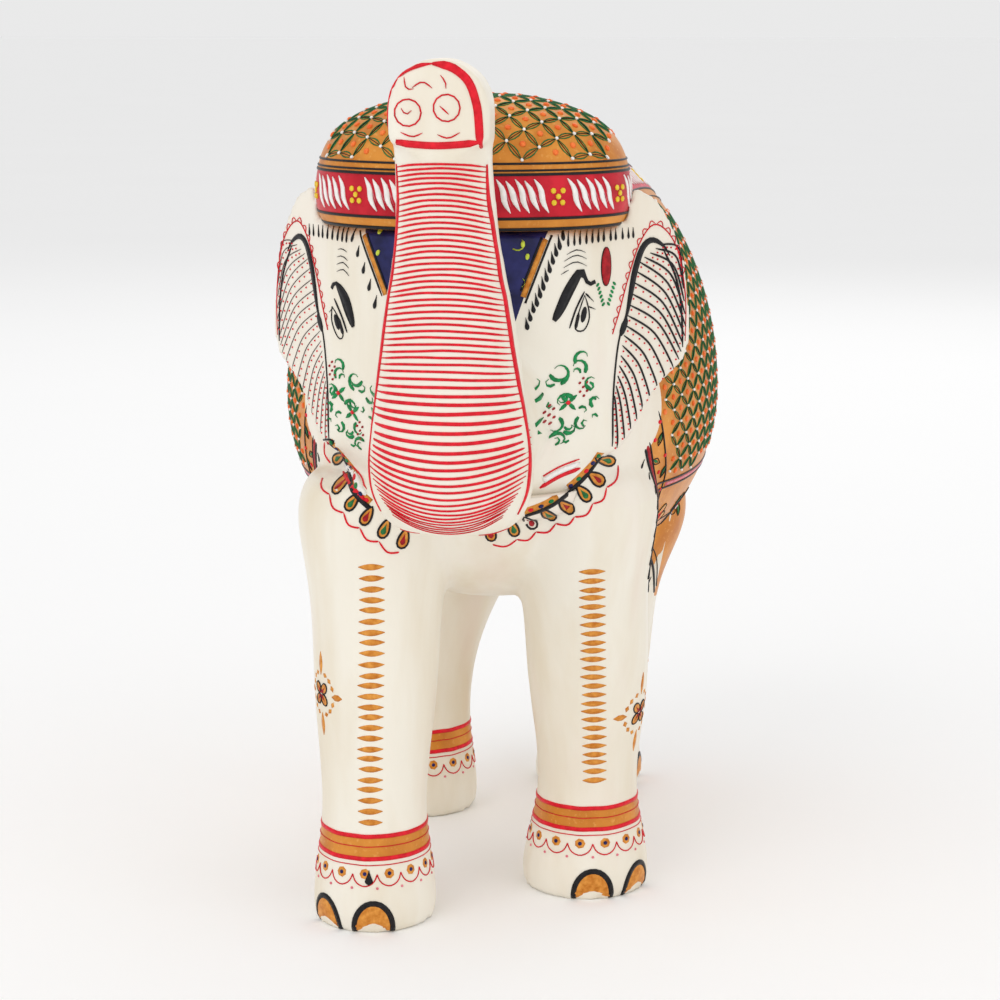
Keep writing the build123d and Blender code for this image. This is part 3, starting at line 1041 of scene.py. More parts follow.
def paint_face():
    pots = Pots("face")
    black = pots["black"]
    # gilt strip of the forehead triangle, between two dark lines
    for way, top, low in ((1, (31.2, 253), (17.0, 215)), (-1, (-36.5, 253), (-25.5, 226))):
        pots["gold"].stroke(face, [top, low], 2.0, lambda t: 1.0)
        turn = math.atan2(low[1] - top[1], low[0] - top[0]) + way * math.pi / 2
        for gap, width in ((1.35, 0.55), (-1.35, 0.55)):
            black.stroke(face, [polar(*top, turn, gap), polar(*low, turn, gap)], width)
        count = 14 if way > 0 else 5
        for i in range(count):
            t = (i + 0.7) / count
            x = top[0] + (low[0] - top[0]) * t + way * 2.6
            z = top[1] + (low[1] - top[1]) * t - 2.0
            length = 4.6 + unsteady(0.6)
            black.drop(face, x, z, length, 1.25, math.radians(-82 if way > 0 else -104))
    for x0, x1, count in ((35, 55.5, 12), (-41, -57, 9)):
        for i in range(count):
            x = x0 + (x1 - x0) * i / (count - 1)
            black.drop(face, x + unsteady(0.2), 247.2, 5.0 - 0.12 * i, 0.75, math.radians(-88))
    for x, z in ((19.5, 249), (24, 247), (21, 243.5), (17.8, 238), (19.6, 232.5), (25.6, 250.5),
                 (18.2, 226), (22.5, 239.5), (-27.5, 247), (-30.5, 250), (-28, 240), (17.4, 245)):
        pots["lime"].oval(face, x, z, 2.2, 1.3, 1.2 + unsteady(0.5))
    for x, z, turn in ((17, 243, 0.4), (17, 231, 0.2)):
        scroll(pots["lime"], face, x, z, 3.2, turn, 1, 0.5)
    eye(
        pots,
        [(30.8, 217.6), (33, 222), (35.6, 227.8), (39.2, 233.4), (41.4, 229.0), (43.6, 229.8)],
        [(35.6, 214.6), (37.6, 221.0), (40.2, 226.6)],
        [(40.3, 225.4), (41.5, 221), (41.7, 217), (40.0, 213.4), (37.4, 214.2), (38.4, 219.4)],
        (40.0, 218.8, 1.4),
        [[(40.6, 225.9), (43.2, 223.0)], [(41.6, 221.4), (43.8, 220.3)]],
        [[(33.8, 235.2), (37.6, 237), (41, 235.2)], [(34, 237.4), (37.7, 239.2), (41, 237.6)],
         [(34.8, 239.6), (38, 241), (40.6, 239.8)], [(33, 233), (35.4, 234.4)]],
    )
    eye(
        pots,
        [(-38.6, 213.6), (-40.4, 219), (-42.4, 224), (-45.6, 228.2), (-47.2, 226)],
        [(-41.2, 211.4), (-43.4, 217.0), (-46.2, 222.6)],
        [(-47.2, 219.8), (-47.4, 215.0), (-45.8, 210.6), (-44.0, 208.8), (-42.8, 210.6), (-44.6, 216.0)],
        (-45.3, 214.6, 1.85),
        [[(-46.8, 219.4), (-48.4, 217.6)]],
        [[(-40, 231), (-42.4, 233), (-45, 232)], [(-40, 233.6), (-42.4, 235.4), (-45, 234.4)],
         [(-40.4, 236.2), (-42.6, 237.6), (-44.8, 237)], [(-40.6, 239), (-42.6, 240), (-44.4, 239.6)]],
    )
    cheek = ((22.5, 197, 2.6, 0.4, 1), (25.5, 191, 3.2, 2.2, -1), (29.5, 199.5, 3.4, 0.2, 1), (33, 196, 3.8, 1.8, 1),
             (37.5, 202.5, 2.8, 0.6, -1), (40.5, 199, 3.0, 2.4, 1), (42.5, 193, 2.6, 1.4, -1), (37, 190.5, 3.0, 3.4, 1),
             (32.5, 184.5, 2.8, 4.2, -1), (38.5, 184, 2.6, 5.2, 1), (24.5, 178, 2.6, 4.6, 1), (29.5, 178.5, 3.0, 5.6, -1),
             (33.8, 179.5, 2.2, 0.5, 1), (22.6, 185, 2.0, 2.6, 1), (28, 194, 2.2, 3.0, -1), (43, 187, 2.2, 1.0, -1))
    for x, z, radius, turn, bend in cheek:
        scroll(pots["green"], face, x, z, radius * 1.15, turn, bend, 1.9)
        scroll(pots["green"], face, x + 1.6, z - 3.4, radius * 0.6, turn + 2.2, -bend, 1.4)
        scroll(pots["green"], face, -x - 5.5, z - 4, radius, math.pi - turn, -bend, 1.7)
        scroll(pots["green"], face, -x - 7, z - 7.4, radius * 0.6, 1.0 - turn, bend, 1.3)
    for x, z in ((25.8, 184.3), (35.3, 189.4), (-39.4, 184), (-45, 190)):
        for i in range(4):
            end = polar(x, z, 0.7 + i * math.pi / 2, 3.6)
            pots["green"].stroke(face, [end, (x, z)], 1.5, leaf_shape)
        pots["red"].dot(face, x, z, 0.8)
    for x, z in ((29.8, 186.6), (40, 194.2), (-36.5, 178), (-47.5, 197.5)):
        for du, dv in ((0, 0), (1.1, 1.5), (-1.1, 1.5), (0, 3.0), (-1.0, -1.5), (1.2, -1.4), (0.2, -3.0)):
            pots["crimson"].oval(face, x + du, z + dv, 1.0, 0.7, 1.0)
    # long temple drop in a V of green dots
    pots["crimson"].patch(face, oval_points(47, 234.6, 13.4, 2.9, math.pi / 2, 12))
    pots["gold"].patch(face, oval_points(47, 231.6, 6.4, 1.9, math.pi / 2, 10), 1.8)
    black.ring(face, 47, 234.6, 1.5, 0.3, 4.4, 16)
    for i in range(6):
        for way in (-1, 1):
            spot = (47 + way * (2.6 - 0.36 * i), 228.6 - 1.35 * i)
            pots["green"].oval(face, *spot, 1.5, 0.7, math.pi / 2 + way * 0.5)
    # white lip between red lines, thick red below
    for way, outer, inner in ((1, (38.5, 167), (25.5, 161.4)), (-1, (-45, 163), (-33.5, 156.8))):
        mid = ((outer[0] + inner[0]) / 2, (outer[1] + inner[1]) / 2 + 0.9)
        pots["white"].stroke(face, [inner, mid, outer], 2.2, line_shape)
        for gap, width in ((1.7, 0.6), (-1.9, 1.7)):
            pots["red"].stroke(face, [(p[0], p[1] + gap) for p in (inner, mid, outer)], width)
    pots.make()


def paint_ear(way):
    name = "left_ear" if way > 0 else "right_ear"
    pots, chart = Pots(name), ear(way)
    red, black = pots["red"], pots["black"]
    fold = [(1.8, 173), (0.6, 184), (0.8, 196), (1.4, 208), (5.6, 219), (9.6, 230), (14.6, 241), (21, 247.4),
            (27.6, 245.4), (33.4, 238.6), (36.4, 229), (38, 219), (37.8, 206)]
    red.stroke(chart, fold, 0.55)
    for u, v, turn in along(fold[:11], 26):
        crest = polar(u, v, turn + math.pi / 2, 1.7)
        red.stroke(chart, [polar(u, v, turn, -1.6), crest, polar(u, v, turn, 1.6)], 0.42, step=1.0)
    black.stroke(chart, [(36.6, 204), (35.6, 218), (32.6, 229), (26.5, 238.6)], 0.6, line_shape)
    black.stroke(chart, [(29.5, 236.5), (26.5, 240), (21, 242.4), (16.4, 240), (13, 233), (10.9, 225), (9.2, 218), (6.8, 212.6)],
                 2.0, leaf_shape)
    pots["black"].oval(chart, 7.6, 213.4, 7.0, 2.8, 1.1)
    black.stroke(chart, [(8.8, 218), (5.4, 209), (3.6, 198), (2.8, 186), (3, 172.5)], 0.5)
    for i in range(18):
        t = i / 17
        start = (np.interp(t, (0, 0.25, 0.5, 1), (25.5, 14, 9.6, 3.6)), np.interp(t, (0, 0.25, 0.5, 1), (240.6, 235, 219, 190)))
        end = (np.interp(t, (0, 0.25, 0.5, 0.75, 1), (36.2, 38.2, 34.5, 18.5, 5.5)),
               np.interp(t, (0, 0.25, 0.5, 0.75, 1), (229, 210, 198.5, 184.5, 171.8)))
        belly = ((start[0] + end[0]) / 2 + 3.2 * (1 - t), (start[1] + end[1]) / 2 + 4.2 * (1 - 0.5 * t))
        route = [tuple(map(float, p)) for p in (start, belly, end)]
        pots["grey" if way < 0 else "black"].stroke(chart, route, 0.52)
        for u, v, turn in along(route, 9):
            red.dot(chart, u - 0.7, v - 1.1, 0.34, 0.8)
    pots.make()


def paint_collar():
    pots = Pots("collar")
    right = [(8, 142.6), (15.7, 144.2), (21.6, 146.6), (28, 149.6), (34, 151.9), (39.6, 156), (43.6, 160.6), (46.4, 166.4)]
    left = [(-21, 141.5), (-27, 145.5), (-32.9, 149.9), (-38.2, 154.4), (-43.4, 159.3), (-48, 164.6), (-50.5, 171)]
    for row in (right, left):
        way = 1 if row is right else -1
        out = []
        for i, (x, z) in enumerate(row):
            turn = math.atan2(z - 196, x - way * 6)
            outline = []
            for k in range(12):
                a = 2 * math.pi * k / 12
                p, q = math.cos(a), math.sin(a)
                reach, wide = 3.5 * p, 2.3 * q * (0.72 + 0.28 * p)
                outline.append((x + reach * math.cos(turn) - wide * math.sin(turn), z + reach * math.sin(turn) + wide * math.cos(turn)))
            pots["gold"].patch(front, outline, 0.9)
            pots["black"].stroke(front, [*outline, outline[0]], 0.55, lambda t: 1.0, step=1.2)
            heart = "leaf" if i % 2 else "crimson"
            pots[heart].drop(front, *polar(x, z, turn, -1.8), 4.0, 2.0, turn)
            out.append(polar(x, z, turn, 4.9))
        for a, b in zip(out, out[1:]):
            middle = ((a[0] + b[0]) / 2, (a[1] + b[1]) / 2)
            turn = math.atan2(middle[1] - 196, middle[0] - way * 6)
            start, end = polar(*a, turn, -0.2), polar(*b, turn, -0.2)
            pots["red"].stroke(front, [polar(*a, math.atan2(a[1] - b[1], a[0] - b[0]), -0.2), *(
                polar(*a, turn, 0), polar(*polar(*middle, turn, 1.9), 0, 0)), b], 0.62, step=1.2)
    band_right = [(21, 150.4), (28, 152.6), (34, 156.2), (40, 161.6), (45.6, 168.6)]
    band_left = [(-32, 152.4), (-38, 157.4), (-44.5, 164), (-49, 171)]
    for band in (band_right, band_left):
        pots["gold"].stroke(front, [(x, z + 1.8) for x, z in band], 3.0, lambda t: 1.0)
        pots["black"].stroke(front, band, 1.3, lambda t: 1.0)
        for i, (u, v, turn) in enumerate(along([(x, z + 1.8) for x, z in band], 9)):
            pots[("red", "navy", "green")[i % 3]].oval(front, u, v, 1.8, 1.3, turn, rise=1.6)
    pots.make()


def side_flower(pots, chart, u, v, size=1.0):
    """Four outlined petals in an open ring of orange strokes."""
    for i in range(4):
        a = math.pi / 4 + i * math.pi / 2
        middle = polar(u, v, a, 3.1 * size)
        outline = oval_points(*middle, 4.6 * size, 3.6 * size, a, 9)
        pots["gold"].patch(chart, outline)
        pots["black"].stroke(chart, [*outline, outline[0]], 0.45, lambda t: 1.0, step=1.1)
        pots["crimson"].drop(chart, *polar(u, v, a, 3.9 * size), 3.4 * size, 1.3 * size, a + math.pi)
    for i in range(16):
        a = 2 * math.pi * i / 16
        long = 12.5 if i % 8 == 4 or i % 8 == 0 else 9.0
        if i % 8 == 4:
            long = 16.0
        start, end = polar(u, v, a, 7.2 * size), polar(u, v, a, long * size)
        pots["gold"].stroke(chart, [start, end], 2.7 * size, leaf_shape)


def paint_leg(name):
    pots, chart = Pots(name), leg(name)
    girth = 2 * math.pi * 21
    turns = 30
    wave = [(girth * (i / turns - 0.5), unsteady(0.15)) for i in range(turns + 1)]
    for z, pot, width in ((34.6, "red", 1.5), (26.8, "red", 1.5), (31, "red", 0.35), (24.6, "red", 0.4)):
        pots[pot].stroke(chart, [(u, z + dz) for u, dz in wave], width, lambda t: 1.0, step=2.2)
    count = 15
    for i in range(count):
        u = girth * ((i + 0.5) / count - 0.5)
        pots["gold"].dot(chart, u, 21.6, 1.9, 0.9)
        pots["navy"].dot(chart, u, 21.6, 0.75, 1.2)
        step = girth / count / 2
        pots["red"].stroke(chart, [(u - step, 21.4), (u - step * 0.7, 18.6), (u, 17.2), (u + step * 0.7, 18.6), (u + step, 21.4)],
                           0.5, lambda t: 1.0, step=1.3)
        pots["rose"].dot(chart, u + step, 16.6, 0.5)
    nails = {"front_left_leg": (12, 62), "front_right_leg": (-43, 8), "rear_left_leg": (38, 84), "rear_right_leg": (30, 76)}[name]
    if name == "front_right_leg":
        nails = (43, -8)
    for degrees in nails:
        u = math.radians(degrees) * 21
        outline = [(u + 6.6, 0.6)] + [(u + 6.6 * math.cos(a), 1.2 + 10.2 * math.sin(a)) for a in np.linspace(0.12, math.pi - 0.12, 9)] + [(u - 6.6, 0.6)]
        outline = [(float(a), float(b)) for a, b in outline]
        pots["gold"].patch(chart, outline, 1.2, 0.9)
        pots["black"].stroke(chart, outline, 1.5, lambda t: 1.0)
    if name == "front_right_leg":
        pots["black"].drop(chart, -1.5, 23, 5.2, 2.2)
    pots.make()


def paint_legs():
    for name in LEGS:
        paint_leg(name)
    pots = Pots("leg_flowers")
    columns = (((-31.7, 134), (-32, 100), (-33.2, 60), (-33.6, 38)), ((42.4, 129), (42.2, 95), (42, 60), (41.8, 44)))
    for column in columns:
        for u, v, turn in along([tuple(map(float, p)) for p in column], 25):
            pots["gold"].stroke(front, [(u - 4.4 + unsteady(0.4), v + unsteady(0.2)), (u + 4.4, v)], 2.3, leaf_shape, step=1.2)
    side_flower(pots, leg("front_left_leg"), math.radians(60) * 21, 69, 0.95)
    side_flower(pots, leg("front_right_leg"), math.radians(56) * 21, 84, 0.95)
    side_flower(pots, leg("rear_left_leg"), math.radians(112) * 21, 52, 0.95)
    side_flower(pots, leg("rear_right_leg"), math.radians(112) * 21, 52, 0.95)
    for x, z in ((48.7, 100.1), (-33.6, 95.8)):
        for i in range(4):
            spot = polar(x, z, i * math.pi / 2 + 0.4, 3.3)
            outline = oval_points(*spot, 4.8, 4.8, 0, 10)
            pots["gold"].patch(rear, outline)
            pots["black"].stroke(rear, [*outline, outline[0]], 0.55, lambda t: 1.0, step=1.1)
            pots["navy"].dot(rear, *spot, 1.0)
        pots["navy"].dot(rear, x, z, 0.9)
        for i in range(20):
            a = 2 * math.pi * i / 20
            tall = 12.0 + 7.5 * abs(math.sin(a)) ** 3
            inner = 9.0 + 3.2 * abs(math.sin(a)) ** 2
            pots["gold"].stroke(rear, [polar(x, z, a, inner), polar(x, z, a, tall)], 2.6, leaf_shape)
    pots.make()


def paint_cap():
    pots = Pots("headdress")
    black, white = pots["black"], pots["white"]
    around = [(-157 + 314 * i / 60, 0.0) for i in range(61)]
    for z, width in ((CAP_Z + 0.7, 0.9), (CAP_Z + 4.3, 0.7), (CAP_Z + 18.7, 0.7), (CAP_Z + 20.0, 0.5), (CAP_Z + 22.2, 0.55)):
        black.stroke(cap_ring, [(u, z) for u, _ in around], width, lambda t: 1.0, step=2.4)
    for i in range(12):
        centre = -150 + i * 27.0
        for du, dz in ((0, 0), (1.8, 1.9), (-1.8, 1.9), (1.6, -2.0), (-1.6, -2.0)):
            pots["yellow"].dot(cap_ring, centre + du, CAP_Z + 11.4 + dz, 1.0, 1.4)
        for k in range(5):
            u = centre + 6.5 + 3.6 * k
            high, low = CAP_Z + 17.2 - 0.5 * (k % 2), CAP_Z + 6.2 + 0.6 * (k % 2)
            lean = 1.7
            white.stroke(cap_ring, [(u - lean * 1.6, high), (u - lean * 0.2, high - 3.4), (u + lean * 0.2, low + 3.6), (u + lean * 1.6, low)],
                         2.0, leaf_shape)
            if k < 4:
                pots["rose"].stroke(cap_ring, [(u + 1.6 - lean, high - 1.8), (u + 1.8 + lean * 0.6, low + 2)], 0.5, leaf_shape)

    def inside(u, v, margin):
        hit = cap_front(u, v)
        return hit is not None and hit[0].z > CAP_Z + 22.8 + margin

    diaper(pots, cap_front, inside, (-58, -70), (58, 70), bpy.context.scene.carving.pitch / MM)
    pots.make()


def paint_back():
    """Top of the cloth: navy diamond, white ladders, small diaper and the two rose strips."""
    pots = Pots("back")
    black, white = pots["black"], pots["white"]

    def top(s, y):
        return barrel(y, s + float(midline(y)))

    def above_arch(s, y, margin=0.0):
        hit = top(s, y)
        if hit is None:
            return False
        x, z = hit[0].x, hit[0].z
        return y < 45 or z > np.interp(x, [p[0] for p in ARCH_OUTER], [p[1] for p in ARCH_OUTER]) + 0.6 + margin

    for way in (-1, 1):
        for s, width in ((26.4, 0.45), (29.8, 0.6), (40.2, 0.6), (43.2, 0.45)):
            route = [(way * s, float(y)) for y in range(-18, 104, 4)]
            route = [p for p in route if above_arch(*p)]
            black.stroke(top, route, width, lambda t: 1.0)
        for i in range(34):
            y = -16 + i * 3.4
            if not above_arch(way * 35, y + 2):
                continue
            if i % 7 == 6:
                for ds, dy in ((0, 0), (1.9, 1.2), (-1.9, 1.2), (1.2, -1.8), (-1.2, -1.8)):
                    pots["yellow"].dot(top, way * 35 + ds, y + dy, 0.75, 1.4)
            else:
                white.stroke(top, [(way * 31.6, y - 1.6), (way * 33.6, y + 0.6), (way * 36.4, y - 0.4), (way * 38.6, y + 1.8)], 0.95, leaf_shape)
        for start, end in (((0, 87), (way * 25.5, 58.5)), ((0, 87), (way * 25.5, 58.5))):
            black.stroke(top, [start, end], 0.5)
        black.stroke(top, [(way * 1.0, 17), (way * 25.5, 57)], 0.5)
        for i in range(15):
            t = (i + 0.6) / 15.5
            s, y = way * 25.5 * t, 87 - 28.5 * t
            white.stroke(top, [(s, y + 0.2), (s + way * 0.2, y - 2.6)], 0.8, leaf_shape)
    for i in range(70):
        s, y = hand.uniform(-22, 22), hand.uniform(24, 82)
        if abs(s) > (84 - y) * 0.9 - 4 or abs(s) > (y - 18) * 0.62 - 1 or math.hypot(s, y - 46) < 9:
            continue
        pots["lime"].stroke(top, [(s, y), (s + hand.uniform(-2, 2), y + hand.uniform(-2.4, 2.4))], 0.8, leaf_shape, step=1.0)
    for s, y in ((0, 68), (-9, 61), (9, 61), (0, 78)):
        for i in range(5):
            pots["yellow"].dot(top, *polar(s, y, i * 1.257, 1.5), 0.7, 1.3)
    for i in range(9):
        a = math.pi * (0.02 + 0.96 * i / 8)
        pots["rose" if i % 2 else "white"].stroke(top, [polar(0, 44, a, 1.4), polar(0, 44, a, 7.6)], 2.2, leaf_shape)
        pots["crimson"].stroke(top, [polar(0, 44, a, 0.8), polar(0, 44, a, 4.6)], 0.9, flick_shape)
    pots["white"].dot(top, 0, 43.4, 1.2, 2.4)
    # small diaper of the field between the diamond and the arch
    pitch = 4.6
    for i in range(-12, 13):
        for j in range(0, 24):
            s, y = (i + 0.5 * (j % 2)) * pitch, 58 + j * pitch / 2
            if abs(s) > 25.2 or abs(s) < (88.5 - y) * 0.9 + 1.2 or not above_arch(s, y + 1.4):
                continue
            white.dot(top, s, y, 0.42, 1.6)
            pots["red"].oval(top, s + pitch / 2, y, 1.2, 0.7, 0, 6)
            for way in (-1, 1):
                end = (s + way * pitch / 2, y + pitch / 2)
                if abs(end[0]) < 25.8 and above_arch(end[0], end[1] + 1):
                    black.stroke(top, [(s, y), end], 0.26)
    for i in range(60):
        s, y = hand.uniform(-25, 25), hand.uniform(-16, 50)
        if abs(s) < (y - 16) * 0.62 + 4:
            continue
        scroll(black, top, s, y, 2.4, hand.uniform(0, 6.28), hand.choice((-1, 1)), 0.3)
    pots.make()


def floral_band(pots, chart, route, width, flowers, size, spacing=11.0):
    """Leaves and tendrils on either side of a route, with blossoms set on it."""
    total = sum(math.dist(a, b) for a, b in zip(route, route[1:]))
    count = int(total / spacing)
    for i, (u, v, turn) in enumerate(along(route, count)):
        if min((math.dist((u, v), f) for f in flowers), default=99) < size + 3:
            continue
        way = 1 if i % 2 else -1
        base = polar(u, v, turn + way * math.pi / 2, width * 0.06)
        leaf(pots, chart, *base, 8.6, turn + way * 0.8)
        leaf(pots, chart, *polar(*base, turn, 3.6), 6.4, turn - way * 1.0)
        scroll(pots["black"], chart, *polar(u, v, turn - way * math.pi / 2, width * 0.16), 2.6, turn + way * 0.4, way, 0.32)
        scroll(pots["black"], chart, *polar(u, v, turn + way * math.pi / 2, width * 0.3), 1.9, turn - way * 2.0, -way, 0.32)
    pots["black"].stroke(chart, route, 0.34)
    for u, v in flowers:
        blossom(pots, chart, u, v, size)


def paint_arch():
    pots = Pots("arch")
    black = pots["black"]

    def lift(points, gap):
        return [(x, z + gap) for x, z in points]

    outer = [tuple(map(float, p)) for p in ARCH_OUTER]
    inner = [tuple(map(float, p)) for p in ARCH_INNER]
    black.stroke(rear, outer, 0.5, lambda t: 1.0)
    black.stroke(rear, lift(outer, -2.4), 0.4, lambda t: 1.0)
    black.stroke(rear, inner, 1.1, lambda t: 1.0)
    route = [(-60.5, 196), (-53, 206), (-45, 216), (-33, 226.5), (-20, 233.5), (-6, 240.5), (5, 247), (14.7, 251.4),
             (24, 246.5), (33, 239.5), (44, 231.5), (56, 223), (64.5, 210), (70, 196)]
    route = [tuple(map(float, p)) for p in route]
    floral_band(pots, rear, route, 13, ((14.7, 250.4), (58, 220.2), (-40.5, 221.8)), 7.6, 6.2)
    pots.make()


def row_points(line, x0, x1, count):
    xs = np.array([p[0] for p in line], float)
    zs = np.array([p[1] for p in line], float)
    order = np.argsort(xs)
    at = np.linspace(x0, x1, count)
    return [(float(x), float(np.interp(x, xs[order], zs[order]))) for x in at]


def paint_rump():
    pots = Pots("rump")
    black, gold = pots["black"], pots["gold"]
    for line, width, gap in (
        (CRIMSON_LOW, 0.45, 0), (CRIMSON_LOW, 0.35, -2.0), (TEARS_LOW, 0.5, 0), (TEARS_LOW, 0.4, -2.6),
        (SCALES_LOW, 1.1, 0), (SCALES_LOW, 0.9, 3.0), (ZIGZAG_TOP, 1.3, 0), (ZIGZAG_LOW, 1.3, 0),
    ):
        route = [(float(x), float(z) + gap) for x, z in line]
        if line in (ZIGZAG_TOP, ZIGZAG_LOW):
            low, high = (-53.5, 67.5) if line is ZIGZAG_TOP else (-55.5, 69.5)
            parts = (row_points(line, low, 12.5, 10), row_points(line, 34.5, high, 6))
        else:
            parts = (route,)
        for part in parts:
            black.stroke(rear, part, width, lambda t: 1.0)
    # teardrops
    for i, (x, z) in enumerate(row_points(TEARS_LOW, -20, 46, 11)):
        outline = oval_points(x, z + 4.9, 8.0, 5.0, math.pi / 2, 10)
        pots["pale"].patch(rear, outline, 0.8)
        black.stroke(rear, [*outline, outline[0]], 0.34, lambda t: 1.0, step=1.1)
        pots["crimson" if i % 2 else "green"].drop(rear, x, z + 8.0, 5.6, 2.2)
    # scale petals with flame tips
    for x, z in row_points(SCALES_LOW, -28, 54, 13):
        outline = [(x - 2.9, z + 8.8), (x - 3.1, z + 6.2), (x - 2.0, z + 4.0), (x, z + 3.3), (x + 2.0, z + 4.0),
                   (x + 3.1, z + 6.2), (x + 2.9, z + 8.8)]
        pots["pale"].patch(rear, outline, 0.8)
        black.stroke(rear, outline, 0.4, lambda t: 1.0)
        for dx, length in ((-2.0, 2.8), (-1.0, 4.2), (0, 5.2), (1.0, 4.2), (2.0, 2.8)):
            pots["crimson"].stroke(rear, [(x + dx * 0.9, z + 4.0), (x + dx, z + 3.8 + length)], 1.1, flick_shape, step=1.1)
    # hanging scallops of the upper row
    tops = row_points(SCALES_LOW, -41, 62, 11)
    for (x0, z0), (x1, z1) in zip(tops, tops[1:]):
        x, z = (x0 + x1) / 2, (z0 + z1) / 2
        deep = 12.5
        half = (x1 - x0) / 2
        black.stroke(rear, [(x - half * 0.95, z - 0.5), (x - half * 0.8, z - deep * 0.6), (x, z - deep), (x + half * 0.8, z - deep * 0.6), (x + half * 0.95, z - 0.5)],
                     0.45, lambda t: 1.0, step=1.3)
        pots["crimson"].drop(rear, x, z - 2.0, 6.6, 1.9)
    for x, z in tops[1:-1]:
        for way in (-1, 1):
            black.stroke(rear, [(x, z - 1), (x + way * 0.6, z - 5.6), (x + way * 3.0, z - 10.4)], 0.5)
            black.stroke(rear, [(x + way * 0.4, z - 2), (x + way * 0.9, z - 7)], 0.55, flick_shape)
        black.stroke(rear, [(x - 4.2, z - 11.6), (x, z - 9.8), (x + 4.2, z - 11.6), (x, z - 13.6), (x - 4.2, z - 11.6)], 0.55, step=1.2)
        black.drop(rear, x, z - 16, 6.2, 1.6)
    # zigzag with dots
    for x0, x1, count in ((-53, 13, 17), (35, 68, 9)):
        top_row = row_points(ZIGZAG_TOP, x0, x1, count)
        low_row = row_points(ZIGZAG_LOW, x0, x1, count)
        route = [(p[0], p[1] - 1.2) if i % 2 else (q[0], q[1] + 1.2) for i, (p, q) in enumerate(zip(top_row, low_row))]
        for a, b in zip(route, route[1:]):
            pots["crimson"].stroke(rear, [a, b], 0.85, lambda t: 1.0)
        for i, (p, q) in enumerate(zip(top_row, low_row)):
            middle = (p[0], p[1] * 0.25 + q[1] * 0.75) if i % 2 else (p[0], p[1] * 0.75 + q[1] * 0.25)
            pots["navy"].dot(rear, *middle, 0.75, 1.2)
    # ring eyes, lenses, threads and bells below the zigzag
    for x0, x1, count in ((-54, 11.5, 9), (37, 68, 6)):
        row = row_points(ZIGZAG_LOW, x0, x1, count)
        pitch = (x1 - x0) / (count - 1)
        for x, z in row:
            outline = oval_points(x, z - 5.0, 4.4, 4.6, 0, 10)
            gold.patch(rear, outline)
            black.stroke(rear, [*outline, outline[0]], 0.42, lambda t: 1.0, step=1.1)
            pots["navy"].dot(rear, x, z - 5.0, 0.95, 1.3)
            pots["crimson"].drop(rear, x, z - 8.4, 3.4, 0.9)
            half = pitch / 2
            black.stroke(rear, [(x - half * 0.9, z - 1), (x - half * 0.75, z - 7.5), (x, z - 11.6), (x + half * 0.75, z - 7.5), (x + half * 0.9, z - 1)],
                         0.45, lambda t: 1.0, step=1.3)
            black.stroke(rear, [(x - half * 0.9, z - 12.2), (x, z - 10.6), (x + half * 0.9, z - 12.2), (x, z - 14.0), (x - half * 0.9, z - 12.2)],
                         0.42, step=1.2)
        for x, z in row[:-1]:
            x += pitch / 2
            for way in (-1, 1):
                black.stroke(rear, [(x, z - 0.6), (x + way * 0.5, z - 5), (x + way * 2.2, z - 9.6)], 0.6)
            black.drop(rear, x, z - 13.8, 6.8, 1.7)
    for x, z in BELLS:
        pots["pale"].stroke(rear, [(x - 0.3, z + 12.5), (x, z)], 0.9)
        bell(pots, x, z)
    pots.make()


BELLS = (  # tops of the bells, x and z
    (61, 138.5), (54, 140), (46, 138.6), (37.4, 138.6), (4.8, 139), (-6.4, 139.4), (-18, 139),
    (-29, 140.6), (-39.6, 143), (-49.6, 147.6), (-57, 152.6),
)


def bell(pots, x, z):
    """Bell seen from the side, its crown in red and a bead for the clapper."""
    outline = [(x, z), (x + 2.2, z - 1.4), (x + 3.0, z - 6.6), (x + 4.1, z - 9.4), (x + 2.4, z - 10.9),
               (x, z - 11.4), (x - 2.4, z - 10.9), (x - 4.1, z - 9.4), (x - 3.0, z - 6.6), (x - 2.2, z - 1.4)]
    pots["gold"].patch(rear, outline)
    pots["black"].stroke(rear, [*outline, outline[0]], 0.42, lambda t: 1.0, step=1.2)
    pots["black"].stroke(rear, [(x - 3.9, z - 9.2), (x, z - 8.2), (x + 3.9, z - 9.2)], 0.34)
    for dx in (-1.6, -0.8, 0, 0.8, 1.6):
        pots["crimson"].stroke(rear, [(x + dx * 0.9, z - 0.6 - abs(dx) * 0.5), (x + dx * 1.2, z - 5.0 + abs(dx) * 0.3)], 1.0, flick_shape, step=1.2)
    pots["crimson"].dot(rear, x, z - 13.0, 1.0)


